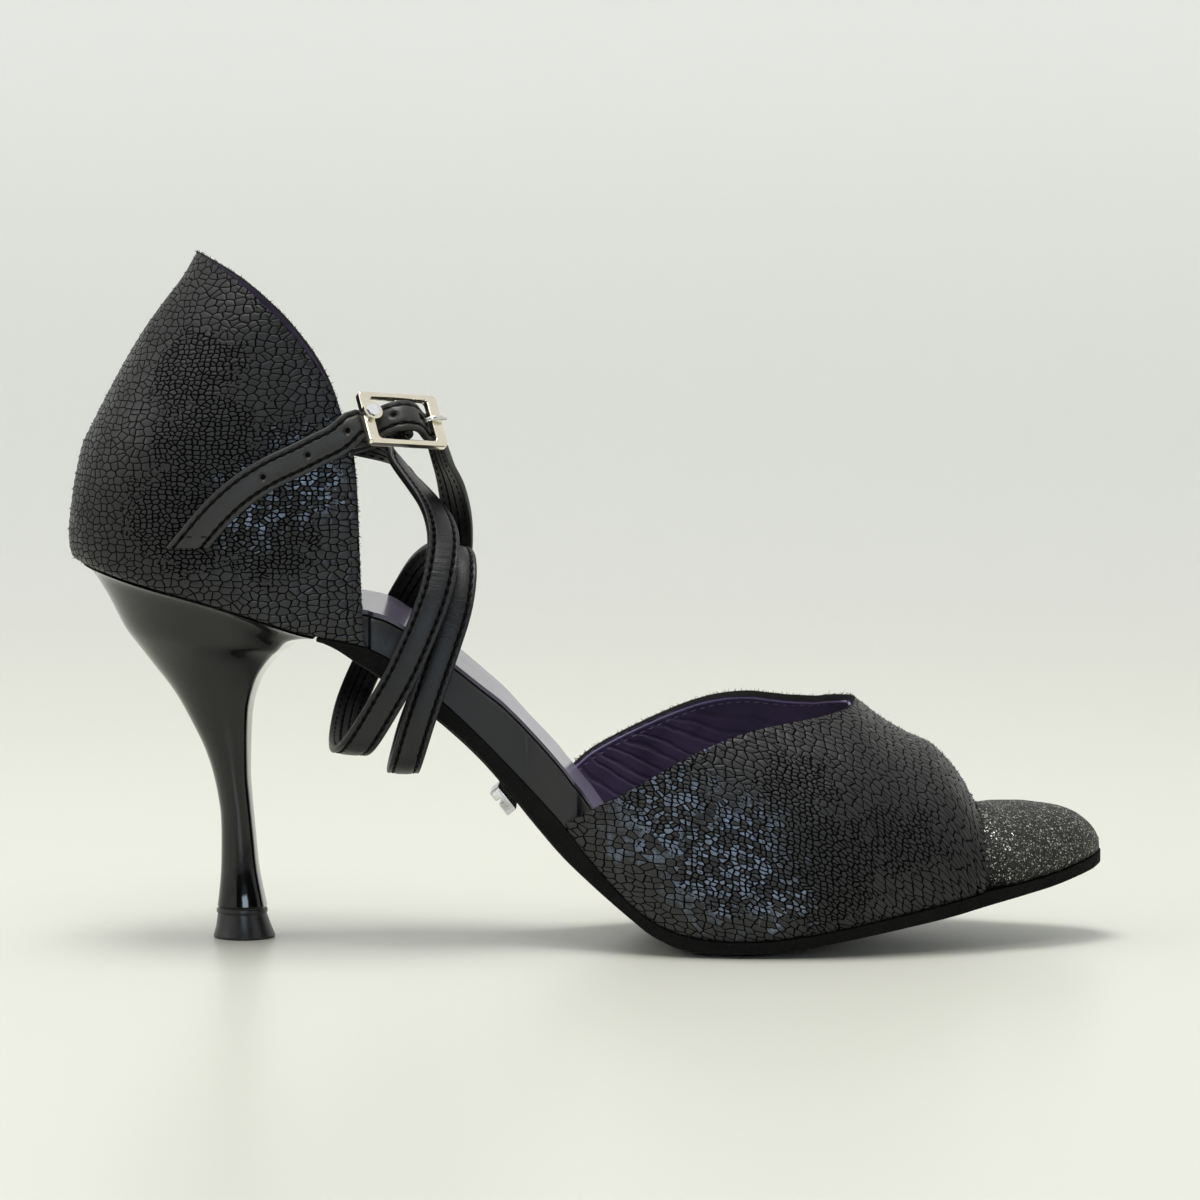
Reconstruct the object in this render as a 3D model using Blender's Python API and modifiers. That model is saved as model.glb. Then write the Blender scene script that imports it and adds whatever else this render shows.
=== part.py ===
"""A ballroom dance shoe, right foot: a high stiletto heel, a closed back quarter, an open waist, a
peep-toe vamp over a low toe cap, and one long instep strap held by a buckle on the outer side.

Metres, +Z up, toe to +X, inner side of the foot to +Y, outer side to -Y. The origin is the middle of
the shoe's outline, on the floor. The shoe stands on its heel tip and on a flat spot under the ball.

Every curved piece is worked out from one last: the plan line, the feather line (where the upper meets
the sole) and the arch of the upper. In the tables x runs from 0 at the heel to 1 at the toe as a share
of LENGTH, widths are shares of HALF_BALL, and heights are shares of HEEL_HEIGHT.
"""
import math
from collections import namedtuple

import bmesh
import bpy
import numpy as np
from mathutils import Matrix, Vector

# Main sizes
LENGTH = 0.2325
BALL_WIDTH = 0.076
HALF_BALL = BALL_WIDTH / 2
HEEL_HEIGHT = 0.085

# Thicknesses
UPPER_WALL = 0.0017
COUNTER_WALL = 0.0019
CAP_WALL = 0.0015
SOCK_THICKNESS = 0.0010
STRAP_WIDTH = 0.0072
STRAP_THICKNESS = 0.0016
SHORT_STRAP_WIDTH = 0.0068
SHORT_STRAP_THICKNESS = 0.0010

# Fits between pieces
GAP = 0.0003
SOCK_GAP = 0.0005
BREAST_GAP = 0.0004
SOLE_REACH = 0.0003
TAIL_OFF = 0.0008
INNER_OFF = 0.0009

# Ends of the last
HEEL_ROUND = 0.030
HEEL_POWER = 2.2
TOE_ROUND = 0.026
TOE_POWER = 2.0
BACK_X = -0.4860 * LENGTH
TIP_X = 0.5002 * LENGTH
BREAST_X = -0.2563 * LENGTH
SHANK_END = -0.0602 * LENGTH
BALL_BEND = 0.0946 * LENGTH
TIP_FLAT = 0.00012

# Vamp
VAMP_REAR_OUTER = -0.0181 * LENGTH
VAMP_REAR_INNER = -0.0344 * LENGTH
THROAT_X = 0.2606 * LENGTH
VAMP_FRONT = 0.3742 * LENGTH
VAMP_FRONT_BOW = 0.0014
THROAT_EASE = 0.92

# Toe cap
CAP_REAR = 0.3505 * LENGTH
CAP_TUCK = 0.0028
CAP_COMES_OUT = 0.007
CAP_LEDGE = 0.0004
CAP_WIDE_AT = 0.25
TIP_EASE = 0.55

# Counter
COUNTER_FRONT_OUTER = -0.2090 * LENGTH
COUNTER_FRONT_INNER = -0.2280 * LENGTH
COUNTER_SEATED = 0.25
COUNTER_LEAN = 1.15
COUNTER_NARROWS = 0.6
COUNTER_NARROW_RUN = 1.2

# Board and sock
BOARD_REAR_INSET = 0.0026
VAMP_INSET = 0.0022
CAP_BOARD_INSET = 0.0052
CAP_INSET_FROM = 0.3054 * LENGTH
CAP_INSET_RUN = 0.009
BOARD_TIP = 0.4710 * LENGTH
BOARD_EDGE_ROUND = 0.0006
WAIST_INSET = 0.0001
SOCK_INSET = 0.0005
SOCK_TIP = 0.4473 * LENGTH
STEP_RUN = 0.0009
STEP_CLEAR = 0.0006
VAMP_STEP_CLEAR = 0.0010

# Buckle, in its own frame: along it, down it and proud of its face
BUCKLE_LONG = 0.0194
BUCKLE_SHORT = 0.0133
BUCKLE_THICK = 0.0018
BUCKLE_SIDE_BAR = 0.0026
BUCKLE_RAIL = 0.0018
BUCKLE_EDGE = 0.00022
BAR_RADIUS = 0.0008
BAR_DROP = 0.0013
BAR_SHIFT = 0.0005
BUCKLE_CENTRE = (-0.1735 * LENGTH, -0.526 * HALF_BALL, 1.3776 * HEEL_HEIGHT)
BUCKLE_LONG_AXIS = (0.857, 0.511, -0.066)
BUCKLE_DOWN_AXIS = (0.263, -0.496, -0.827)

# Stone and its cup
STONE_RADIUS = 0.00155
STONE_TABLE = 0.62
STONE_HEIGHT = 0.0010
STONE_REST = 0.0002
STONE_DOWN = -0.0012
CUP_WALL = 0.0004
CUP_HEIGHT = 0.0009
CUP_BED = 0.0002
CUP_EDGE = 0.0001

# Prong and the openings it passes
PRONG_RADIUS = 0.00055
EYE_START = 205
EYE_STEP = 24
HOLE_ALONG = 0.268
HOLE_LONG = 0.0038
HOLE_WIDE = 0.0019
SLOT_LONG = 0.0062
SLOT_WIDE = 0.0022
SLOT_FORWARD = 0.0016
OPENING_DEEP = 0.008
WRAP_START = -100
WRAP_STEP = 26
WRAP_COUNT = 9

# Badge plate under the waist
PLATE_LENGTH = 0.0064
PLATE_WIDTH = 0.012
PLATE_THICK = 0.0026
PLATE_GROOVE = 0.0009
PLATE_OFF = 0.0004
PLATE_X = -0.0727 * LENGTH
PLATE_Y = -0.289 * HALF_BALL
PLATE_GROOVE_SHIFT = -0.0004

# Straps
TAIL_SLANT = 0.0030
PROBE = 0.001

# Fineness of the faceted forms
ARCH_STEPS = 24
SIDE_COLUMNS = 9
VAMP_ROWS = 24
FRONT_ROWS = 9
CAP_ROWS = 18
CAP_COLUMNS = 8
COUNTER_ROWS = 18
HALF_COLUMNS = 11
HEEL_ROWS = 20
HEEL_SIDE = 10
HEEL_BREAST = 2
TIP_SIDES = 20
HALVINGS = 23
SEAM_STEPS = 60
LONG_ROWS = 128
SHORT_ROWS = 36
PRONG_ROWS = 30
ROUND_SIDES = 24
SOLE_ACROSS = (-1, -0.8, -0.4, 0.4, 0.8, 1)
BOARD_ACROSS = (-1, -0.95, 0.95, 1)
SOCK_ACROSS = (-1, -0.3, 0.3, 1)
STRAP_SECTION = ((-1, 0.2), (-0.93, 1), (0.93, 1), (1, 0.2), (0.97, -1), (-0.97, -1))

Plan = namedtuple("Plan", "x mid outer inner")
PLAN = (
    Plan(0.0140, 0.0000, 0.6579, 0.6474),
    Plan(0.0785, 0.0000, 0.6579, 0.6474),
    Plan(0.1215, 0.0000, 0.6553, 0.6447),
    Plan(0.1774, 0.0000, 0.6526, 0.6158),
    Plan(0.2419, 0.0000, 0.5868, 0.5368),
    Plan(0.3065, 0.0000, 0.5158, 0.4474),
    Plan(0.3710, 0.0000, 0.4763, 0.3842),
    Plan(0.4355, 0.0000, 0.5053, 0.3921),
    Plan(0.4785, 0.0000, 0.5842, 0.4526),
    Plan(0.5430, 0.0000, 0.7632, 0.6184),
    Plan(0.6075, 0.0000, 0.8921, 0.7947),
    Plan(0.6634, 0.0000, 0.9316, 0.9000),
    Plan(0.7151, 0.0000, 0.9184, 0.9289),
    Plan(0.7667, 0.0053, 0.8526, 0.8947),
    Plan(0.8226, 0.0211, 0.7474, 0.7895),
    Plan(0.8785, 0.0395, 0.6316, 0.6553),
    Plan(0.9301, 0.0684, 0.5368, 0.5263),
    Plan(0.9645, 0.0842, 0.4947, 0.4789),
    Plan(1.0002, 0.0947, 0.4605, 0.4421),
)

Line = namedtuple("Line", "x low feather crown board rise")
LINES = (
    Line(0.0140, 0.9671, 1.0024, 0.0118, 0.0588, 0.0000),
    Line(0.0759, 0.9165, 0.9518, 0.0130, 0.0601, 0.0024),
    Line(0.1344, 0.8741, 0.9094, 0.0143, 0.0613, 0.0046),
    Line(0.1989, 0.8188, 0.8529, 0.0156, 0.0626, 0.0071),
    Line(0.2312, 0.7953, 0.8235, 0.0162, 0.0633, 0.0135),
    Line(0.2591, 0.7706, 0.8071, 0.0172, 0.0678, 0.0190),
    Line(0.2849, 0.7482, 0.7918, 0.0182, 0.0741, 0.0242),
    Line(0.3065, 0.7118, 0.7671, 0.0191, 0.0859, 0.0241),
    Line(0.3280, 0.6706, 0.7282, 0.0200, 0.0941, 0.0212),
    Line(0.3667, 0.5882, 0.6376, 0.0216, 0.1047, 0.0159),
    Line(0.4011, 0.5012, 0.5482, 0.0230, 0.1200, 0.0104),
    Line(0.4247, 0.4271, 0.4824, 0.0230, 0.1343, 0.0030),
    Line(0.4484, 0.3459, 0.4153, 0.0217, 0.1365, -0.0044),
    Line(0.4785, 0.2506, 0.3271, 0.0201, 0.1338, -0.0047),
    Line(0.5017, 0.1906, 0.2471, 0.0188, 0.1318, -0.0022),
    Line(0.5215, 0.1435, 0.1859, 0.0181, 0.1129, 0.0000),
    Line(0.5413, 0.0988, 0.1318, 0.0173, 0.0941, 0.0000),
    Line(0.5641, 0.0518, 0.0859, 0.0165, 0.0774, 0.0000),
    Line(0.5895, 0.0224, 0.0576, 0.0153, 0.0588, 0.0000),
    Line(0.6118, 0.0118, 0.0459, 0.0129, 0.0534, 0.0000),
    Line(0.6376, 0.0106, 0.0412, 0.0118, 0.0471, 0.0000),
    Line(0.6634, 0.0129, 0.0424, 0.0141, 0.0471, 0.0000),
    Line(0.7022, 0.0235, 0.0529, 0.0153, 0.0471, 0.0000),
    Line(0.7409, 0.0412, 0.0706, 0.0150, 0.0471, 0.0000),
    Line(0.7925, 0.0659, 0.0976, 0.0145, 0.0452, 0.0000),
    Line(0.8458, 0.0929, 0.1271, 0.0140, 0.0422, 0.0000),
    Line(0.8905, 0.1224, 0.1553, 0.0117, 0.0392, 0.0000),
    Line(0.9245, 0.1424, 0.1729, 0.0100, 0.0369, 0.0000),
    Line(0.9482, 0.1565, 0.1859, 0.0087, 0.0352, 0.0000),
    Line(0.9731, 0.1753, 0.2047, 0.0074, 0.0318, 0.0000),
    Line(0.9925, 0.1918, 0.2224, 0.0064, 0.0306, 0.0000),
    Line(1.0032, 0.2059, 0.2353, 0.0059, 0.0306, 0.0000),
)

Ridge = namedtuple("Ridge", "x y z swell wide_at power")
VAMP_RIDGE = (
    Ridge(0.4570, 0.0526, 0.9882, 0.0158, 0.0824, 2),
    Ridge(0.5215, 0.0632, 0.9294, 0.0474, 0.1059, 2),
    Ridge(0.6075, 0.0737, 0.8294, 0.0658, 0.1235, 2),
    Ridge(0.6720, 0.0737, 0.7471, 0.0684, 0.1235, 2),
    Ridge(0.7237, 0.0684, 0.6812, 0.0684, 0.1176, 2.05),
    Ridge(0.7606, 0.0579, 0.6388, 0.0684, 0.1118, 2.05),
    Ridge(0.7796, 0.0526, 0.6000, 0.0658, 0.1059, 2.1),
    Ridge(0.7959, 0.0526, 0.5694, 0.0632, 0.1000, 2.1),
    Ridge(0.8157, 0.0500, 0.5400, 0.0605, 0.0941, 2.1),
    Ridge(0.8351, 0.0500, 0.5165, 0.0553, 0.0882, 2.1),
    Ridge(0.8467, 0.0500, 0.4871, 0.0526, 0.0824, 2.1),
    Ridge(0.8566, 0.0526, 0.4576, 0.0500, 0.0765, 2.1),
    Ridge(0.8643, 0.0526, 0.4271, 0.0474, 0.0706, 2.1),
    Ridge(0.8703, 0.0526, 0.3988, 0.0447, 0.0647, 2.1),
    Ridge(0.8742, 0.0526, 0.3753, 0.0421, 0.0612, 2.1),
    Ridge(0.8828, 0.0553, 0.3588, 0.0421, 0.0588, 2.1),
    Ridge(0.9301, 0.0684, 0.3294, 0.0368, 0.0529, 2),
    Ridge(1.0002, 0.1053, 0.2824, 0.0237, 0.0353, 2),
)

Edge = namedtuple("Edge", "x z")
VAMP_TOP_OUTER = (
    Edge(0.4819, 0.3353),
    Edge(0.5026, 0.3694),
    Edge(0.5262, 0.4035),
    Edge(0.5490, 0.4388),
    Edge(0.5714, 0.4753),
    Edge(0.5942, 0.5106),
    Edge(0.6178, 0.5412),
    Edge(0.6406, 0.5647),
    Edge(0.6634, 0.5812),
    Edge(0.6867, 0.5929),
    Edge(0.7112, 0.6024),
    Edge(0.7353, 0.6129),
    Edge(0.7533, 0.6259),
    Edge(0.7606, 0.6388),
)
VAMP_TOP_INNER = (
    Edge(0.4656, 0.3812),
    Edge(0.4832, 0.4306),
    Edge(0.5026, 0.4765),
    Edge(0.5172, 0.5000),
    Edge(0.5387, 0.5294),
    Edge(0.5628, 0.5600),
    Edge(0.5869, 0.5882),
    Edge(0.6110, 0.6118),
    Edge(0.6273, 0.6235),
    Edge(0.6471, 0.6318),
    Edge(0.6634, 0.6341),
    Edge(0.6824, 0.6294),
    Edge(0.7056, 0.6247),
    Edge(0.7245, 0.6247),
    Edge(0.7404, 0.6318),
    Edge(0.7606, 0.6388),
)

Dome = namedtuple("Dome", "x z")
CAP_RIDGE = (
    Dome(0.8441, 0.3435),
    Dome(0.8656, 0.3494),
    Dome(0.8759, 0.3541),
    Dome(0.8974, 0.3612),
    Dome(0.9198, 0.3612),
    Dome(0.9422, 0.3553),
    Dome(0.9585, 0.3482),
    Dome(0.9753, 0.3318),
    Dome(0.9860, 0.3118),
    Dome(0.9946, 0.2871),
    Dome(1.0002, 0.2588),
)

Slice = namedtuple("Slice", "up back_x back_z front_x front_z swell front_swell")
COUNTER = (
    Slice(0, 0.0140, 1.0059, 0.2914, 0.7976, 0.0000, 0.0000),
    Slice(0.05, 0.0045, 1.0459, 0.2897, 0.8871, 0.0132, 0.0132),
    Slice(0.12, 0.0015, 1.1012, 0.2880, 0.9918, 0.0342, 0.0316),
    Slice(0.2, 0.0045, 1.1671, 0.2862, 1.0953, 0.0500, 0.0421),
    Slice(0.28, 0.0088, 1.2341, 0.2849, 1.1859, 0.0526, 0.0447),
    Slice(0.37, 0.0153, 1.3106, 0.2819, 1.2824, 0.0474, 0.0368),
    Slice(0.44, 0.0260, 1.3718, 0.2746, 1.3600, 0.0316, 0.0263),
    Slice(0.55, 0.0411, 1.4518, 0.2634, 1.4388, 0.0000, 0.0053),
    Slice(0.66, 0.0587, 1.5400, 0.2462, 1.5212, -0.0368, -0.0263),
    Slice(0.77, 0.0785, 1.6271, 0.2161, 1.6235, -0.0842, -0.0789),
    Slice(0.85, 0.0957, 1.6918, 0.1912, 1.6894, -0.1263, -0.1105),
    Slice(0.925, 0.1133, 1.7553, 0.1632, 1.7529, -0.1737, -0.1684),
    Slice(1, 0.1258, 1.8153, 0.1288, 1.8141, -0.2263, -0.2263),
)

HeelRow = namedtuple("HeelRow", "down back_x back_z breast_x breast_z wide corner scoop seat")
HEEL = (
    HeelRow(0, 0.0140, 0.9988, 0.2437, 0.7965, 0.6500, 0.5526, 0.0000, 1),
    HeelRow(0.09, 0.0359, 0.9000, 0.2265, 0.7812, 0.5579, 0.4605, 0.0421, 0.35),
    HeelRow(0.18, 0.0578, 0.8153, 0.2114, 0.7647, 0.4526, 0.3632, 0.0579, 0),
    HeelRow(0.27, 0.0802, 0.7353, 0.1989, 0.7365, 0.3500, 0.2789, 0.0579, 0),
    HeelRow(0.36, 0.1022, 0.6553, 0.1860, 0.6847, 0.2632, 0.2079, 0.0474, 0),
    HeelRow(0.45, 0.1194, 0.5706, 0.1778, 0.6000, 0.2000, 0.1579, 0.0342, 0),
    HeelRow(0.52, 0.1314, 0.5012, 0.1761, 0.5106, 0.1658, 0.1289, 0.0263, 0),
    HeelRow(0.58, 0.1387, 0.4400, 0.1757, 0.4400, 0.1421, 0.1079, 0.0211, 0),
    HeelRow(0.64, 0.1434, 0.3788, 0.1770, 0.3788, 0.1289, 0.0947, 0.0158, 0),
    HeelRow(0.7, 0.1460, 0.3247, 0.1787, 0.3247, 0.1211, 0.0895, 0.0132, 0),
    HeelRow(0.76, 0.1465, 0.2718, 0.1804, 0.2718, 0.1184, 0.0868, 0.0105, 0),
    HeelRow(0.85, 0.1460, 0.1894, 0.1834, 0.1894, 0.1237, 0.0921, 0.0105, 0),
    HeelRow(0.93, 0.1439, 0.1200, 0.1882, 0.1200, 0.1368, 0.1026, 0.0105, 0),
    HeelRow(1, 0.1422, 0.0824, 0.1912, 0.0824, 0.1500, 0.1132, 0.0105, 0),
)

TipRow = namedtuple("TipRow", "z back_x front_x half_width")
HEEL_TIP = (
    TipRow(0.0788, 0.1417, 0.1908, 0.1500),
    TipRow(0.0694, 0.1413, 0.1912, 0.1526),
    TipRow(0.0659, 0.1426, 0.1899, 0.1447),
    TipRow(0.0306, 0.1409, 0.1946, 0.1605),
    TipRow(0.0059, 0.1383, 0.1985, 0.1789),
    TipRow(0.0000, 0.1391, 0.1976, 0.1737),
)

# The long strap's folds in order, from inside the inner quarter: twice round the arch, then up to the
# buckle. x, y and z are the middle of the strap, and out_x, out_y and out_z point out of its right side.
Fold = namedtuple("Fold", "x y z out_x out_y out_z")
STRAP = (
    Fold(0.2247, 0.447, 1.344, -0.10, 0.98, 0.15),
    Fold(0.2613, 0.421, 1.322, 0.05, 0.93, 0.35),
    Fold(0.3081, 0.408, 1.281, 0.35, 0.55, 0.75),
    Fold(0.3229, 0.250, 1.235, 0.50, 0.10, 0.86),
    Fold(0.3407, 0.053, 1.185, 0.58, -0.35, 0.74),
    Fold(0.3566, -0.184, 1.134, 0.50, -0.70, 0.50),
    Fold(0.3644, -0.368, 1.078, 0.30, -0.92, 0.25),
    Fold(0.3642, -0.513, 1.011, 0.10, -0.99, 0.12),
    Fold(0.3580, -0.605, 0.928, 0.00, -1.00, 0.03),
    Fold(0.3450, -0.653, 0.833, 0.00, -1.00, 0.00),
    Fold(0.3270, -0.658, 0.725, 0.00, -1.00, 0.00),
    Fold(0.3078, -0.626, 0.633, -0.02, -0.99, -0.10),
    Fold(0.2889, -0.539, 0.551, -0.05, -0.86, -0.50),
    Fold(0.2771, -0.395, 0.516, -0.05, -0.50, -0.87),
    Fold(0.2694, -0.184, 0.512, 0.00, -0.15, -0.99),
    Fold(0.2660, 0.079, 0.535, 0.00, 0.20, -0.98),
    Fold(0.2686, 0.342, 0.597, 0.00, 0.75, -0.66),
    Fold(0.2772, 0.487, 0.664, 0.00, 0.97, -0.25),
    Fold(0.2896, 0.547, 0.735, 0.00, 1.00, 0.00),
    Fold(0.3065, 0.547, 0.819, 0.03, 1.00, 0.05),
    Fold(0.3238, 0.495, 0.905, 0.08, 0.95, 0.30),
    Fold(0.3414, 0.368, 0.981, 0.12, 0.75, 0.65),
    Fold(0.3613, 0.158, 1.029, 0.18, 0.30, 0.94),
    Fold(0.3742, -0.079, 1.034, 0.20, -0.25, 0.95),
    Fold(0.3800, -0.276, 1.013, 0.18, -0.72, 0.67),
    Fold(0.3808, -0.421, 0.956, 0.10, -0.96, 0.25),
    Fold(0.3764, -0.500, 0.880, 0.05, -1.00, 0.05),
    Fold(0.3652, -0.547, 0.783, 0.00, -1.00, 0.00),
    Fold(0.3529, -0.568, 0.685, 0.00, -1.00, 0.00),
    Fold(0.3413, -0.561, 0.591, 0.00, -1.00, -0.10),
    Fold(0.3322, -0.487, 0.512, 0.00, -0.86, -0.51),
    Fold(0.3264, -0.342, 0.466, 0.00, -0.50, -0.87),
    Fold(0.3239, -0.132, 0.457, 0.00, -0.10, -1.00),
    Fold(0.3249, 0.132, 0.482, 0.00, 0.30, -0.95),
    Fold(0.3303, 0.355, 0.543, 0.00, 0.80, -0.60),
    Fold(0.3394, 0.474, 0.613, 0.00, 0.98, -0.20),
    Fold(0.3531, 0.513, 0.720, 0.00, 1.00, 0.00),
    Fold(0.3652, 0.484, 0.851, 0.05, 1.00, 0.05),
    Fold(0.3725, 0.426, 0.988, 0.12, 0.99, 0.10),
    Fold(0.3741, 0.332, 1.103, 0.31, 0.91, 0.26),
    Fold(0.3692, 0.158, 1.202, 0.52, 0.58, 0.63),
    Fold(0.3616, -0.026, 1.271, 0.60, 0.05, 0.80),
    Fold(0.3579, -0.211, 1.321, 0.57, -0.31, 0.76),
)

# Through the buckle, in the buckle's own frame: along is a share of BUCKLE_LONG, proud of BUCKLE_THICK.
Pass = namedtuple("Pass", "along proud")
THROUGH = (
    Pass(0.50, -1.55),
    Pass(0.39, -1.45),
    Pass(0.28, -0.50),
    Pass(0.16, 0.75),
    Pass(0.03, 1.20),
    Pass(-0.10, 0.95),
    Pass(-0.21, -0.25),
    Pass(-0.30, -1.45),
    Pass(-0.42, -1.60),
    Pass(-0.53, -1.55),
)
SHORT_STRAP_PASS = (
    Pass(-0.28, -3.80),
    Pass(-0.12, -1.85),
)
PRONG_PASS = (
    Pass(0.165, -1.05),
    Pass(0.215, -0.85),
    Pass(0.265, -0.20),
    Pass(0.315, 0.55),
    Pass(0.370, 0.98),
    Pass(0.450, 1.08),
    Pass(0.530, 0.98),
)

# The tail lies on the outer quarter: only its course along x and z is given.
TAIL = (
    Edge(0.2652, 1.3282),
    Edge(0.2471, 1.3035),
    Edge(0.2265, 1.2753),
    Edge(0.2019, 1.2435),
    Edge(0.1761, 1.1965),
    Edge(0.1512, 1.1341),
    Edge(0.1262, 1.0541),
)


# What leads inside the outer quarter.
SHORT_STRAP_IN = (
    Edge(0.2075, 1.2941),
    Edge(0.2376, 1.3106),
    Edge(0.2677, 1.3282),
)


# Tools
def spline(rows, column, key="x"):
    """A smooth line through one column of a table."""
    xs = np.array([getattr(r, key) for r in rows], float)
    ys = np.array([getattr(r, column) for r in rows], float)
    step = np.diff(xs)
    slope = np.diff(ys) / step
    tangent = np.zeros(len(xs))
    tangent[0], tangent[-1] = slope[0], slope[-1]
    for i in range(1, len(xs) - 1):
        if slope[i - 1] * slope[i] > 0:
            a = 2 * step[i] + step[i - 1]
            b = step[i] + 2 * step[i - 1]
            tangent[i] = (a + b) / (a / slope[i - 1] + b / slope[i])

    def at(x):
        x = min(max(x, xs[0]), xs[-1])
        i = min(max(int(np.searchsorted(xs, x)) - 1, 0), len(step) - 1)
        t = (x - xs[i]) / step[i]
        return (
            ys[i] * (1 + 2 * t) * (1 - t) ** 2
            + tangent[i] * step[i] * t * (1 - t) ** 2
            + ys[i + 1] * t * t * (3 - 2 * t)
            + tangent[i + 1] * step[i] * t * t * (t - 1)
        )

    return at


def smooth(t):
    """0 to 1 with soft ends."""
    t = min(max(t, 0.0), 1.0)
    return t * t * (3 - 2 * t)


def rounding(distance, depth, power):
    """How far a rounded end has opened, at a distance in from its tip."""
    share = min(max(distance / depth, 0.0), 1.0)
    return (1 - (1 - share) ** power) ** (1 / power)


def share_of(x):
    return x / LENGTH + 0.5


def at_share(share):
    return (share - 0.5) * LENGTH


def spread(start, end, count, ease_start=False, ease_end=False):
    """Positions from start to end, closer together at an eased end."""
    out = []
    for i in range(count):
        t = i / (count - 1)
        if ease_start and ease_end:
            t = 0.5 - 0.5 * math.cos(math.pi * t)
        elif ease_start:
            t = 1 - math.cos(math.pi * t / 2)
        elif ease_end:
            t = math.sin(math.pi * t / 2)
        out.append(start + (end - start) * t)
    return out


def resample(points, count, top=1.0):
    """Count points at even steps along the first part of a line of points."""
    points = np.array(points, float)
    run = np.concatenate([[0], np.cumsum(np.linalg.norm(np.diff(points, axis=0), axis=1))])
    want = np.linspace(0, run[-1] * top, count)
    return np.stack([np.interp(want, run, points[:, k]) for k in range(points.shape[1])], axis=1)


# The last: plan
plan_mid = spline(PLAN, "mid")
plan_outer = spline(PLAN, "outer")
plan_inner = spline(PLAN, "inner")
line_low = spline(LINES, "low")
line_feather = spline(LINES, "feather")
line_crown = spline(LINES, "crown")
line_board = spline(LINES, "board")
line_rise = spline(LINES, "rise")
OUTER, INNER = -1, 1


def side_width(x, side):
    """Half width of the last's bottom on one side, before its ends are rounded."""
    return (plan_outer if side == OUTER else plan_inner)(share_of(x)) * HALF_BALL


def plan_edge(x, side, inset=0.0):
    """The y of the plan line on one side, moved in by the inset."""
    ends = rounding(x - BACK_X - inset, HEEL_ROUND, HEEL_POWER)
    ends *= rounding(TIP_X - inset - x, TOE_ROUND, TOE_POWER)
    return plan_mid(share_of(x)) * HALF_BALL + side * (side_width(x, side) - inset) * ends


def feather(x):
    return line_feather(share_of(x)) * HEEL_HEIGHT


def sole_low(x):
    return line_low(share_of(x)) * HEEL_HEIGHT


# The last: arch of the vamp
ridge_y = spline(VAMP_RIDGE, "y")
ridge_z = spline(VAMP_RIDGE, "z")
arch_swell = spline(VAMP_RIDGE, "swell")
arch_wide_at = spline(VAMP_RIDGE, "wide_at")
arch_power = spline(VAMP_RIDGE, "power")
top_outer = spline(VAMP_TOP_OUTER, "z")
top_inner = spline(VAMP_TOP_INNER, "z")
cap_ridge = spline(CAP_RIDGE, "z")


def arch(x, side, foot, swell, wide_at, top_y, top_z, power):
    """The upper's outline at x on one side: out to its widest, then over to the ridge."""
    base = feather(x) + GAP
    wide = foot + side * swell
    points = []
    for i in range(ARCH_STEPS // 3):
        t = i / (ARCH_STEPS // 3)
        points.append((foot + side * swell * math.sin(t * math.pi / 2), base + wide_at * t))
    for i in range(ARCH_STEPS + 1):
        turn = math.pi / 2 * i / ARCH_STEPS
        reach = max(math.cos(turn), 0.0) ** (2 / power)
        height = math.sin(turn) ** (2 / power)
        points.append((top_y + (wide - top_y) * reach, base + wide_at + (top_z - base - wide_at) * height))
    return points


def vamp_arch(x, side):
    s = share_of(x)
    return arch(x, side, plan_edge(x, side), arch_swell(s) * HALF_BALL, arch_wide_at(s) * HEEL_HEIGHT,
                ridge_y(s) * HALF_BALL, ridge_z(s) * HEEL_HEIGHT, arch_power(s))


def cap_arch(x, side):
    """Under the vamp the cap is tucked inside it; in front it comes out to the sole's edge."""
    s = share_of(x)
    tucked = 1 - smooth((x - VAMP_FRONT - VAMP_FRONT_BOW - GAP) / CAP_COMES_OUT)
    ends = rounding(TIP_X - x, TOE_ROUND, TOE_POWER)
    swell = arch_swell(s) * HALF_BALL * ends
    foot = plan_edge(x, side) - side * (CAP_TUCK * tucked + CAP_LEDGE * (1 - tucked) * ends)
    top = cap_ridge(s) * HEEL_HEIGHT
    base = feather(x) + GAP
    wide_at = (top - base) * CAP_WIDE_AT
    return arch(x, side, foot, swell, wide_at, plan_mid(s) * HALF_BALL, top, 2.0)


def clip_at(points, z):
    """The share of a rising line's length at which it reaches the height z."""
    points = np.array(points)
    run = np.concatenate([[0], np.cumsum(np.linalg.norm(np.diff(points, axis=0), axis=1))])
    return float(np.interp(z, points[:, 1], run) / run[-1])


# The last: back quarter
counter_columns = {c: spline(COUNTER, c, "up") for c in Slice._fields[1:]}


def counter_value(name, up):
    value = counter_columns[name](up)
    if name in ("back_x", "front_x"):
        return at_share(value)
    return value * (HEEL_HEIGHT if name in ("back_z", "front_z") else HALF_BALL)


def counter_point(up, along, side):
    """A point of the quarter's outside: up the back seam, then forward from it to the front edge."""
    back_x, back_z = counter_value("back_x", up), counter_value("back_z", up)
    front_x, front_z = counter_value("front_x", up), counter_value("front_z", up)
    if side == INNER:
        front_x -= (COUNTER_FRONT_OUTER - COUNTER_FRONT_INNER) * smooth(COUNTER_LEAN * (1 - up))
    x = back_x + (front_x - back_x) * along
    z = back_z + (front_z - back_z) * along
    z += (feather(x) + GAP - z) * max(0.0, 1 - up / COUNTER_SEATED) ** 2
    swell = counter_value("swell", up)
    past = smooth((x - back_x - COUNTER_NARROWS * HEEL_ROUND) / (COUNTER_NARROW_RUN * HEEL_ROUND))
    swell += (counter_value("front_swell", up) - swell) * past
    opened = rounding(x - back_x, HEEL_ROUND, HEEL_POWER)
    return (x, side * (side_width(x, side) + swell) * opened, z)


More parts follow.
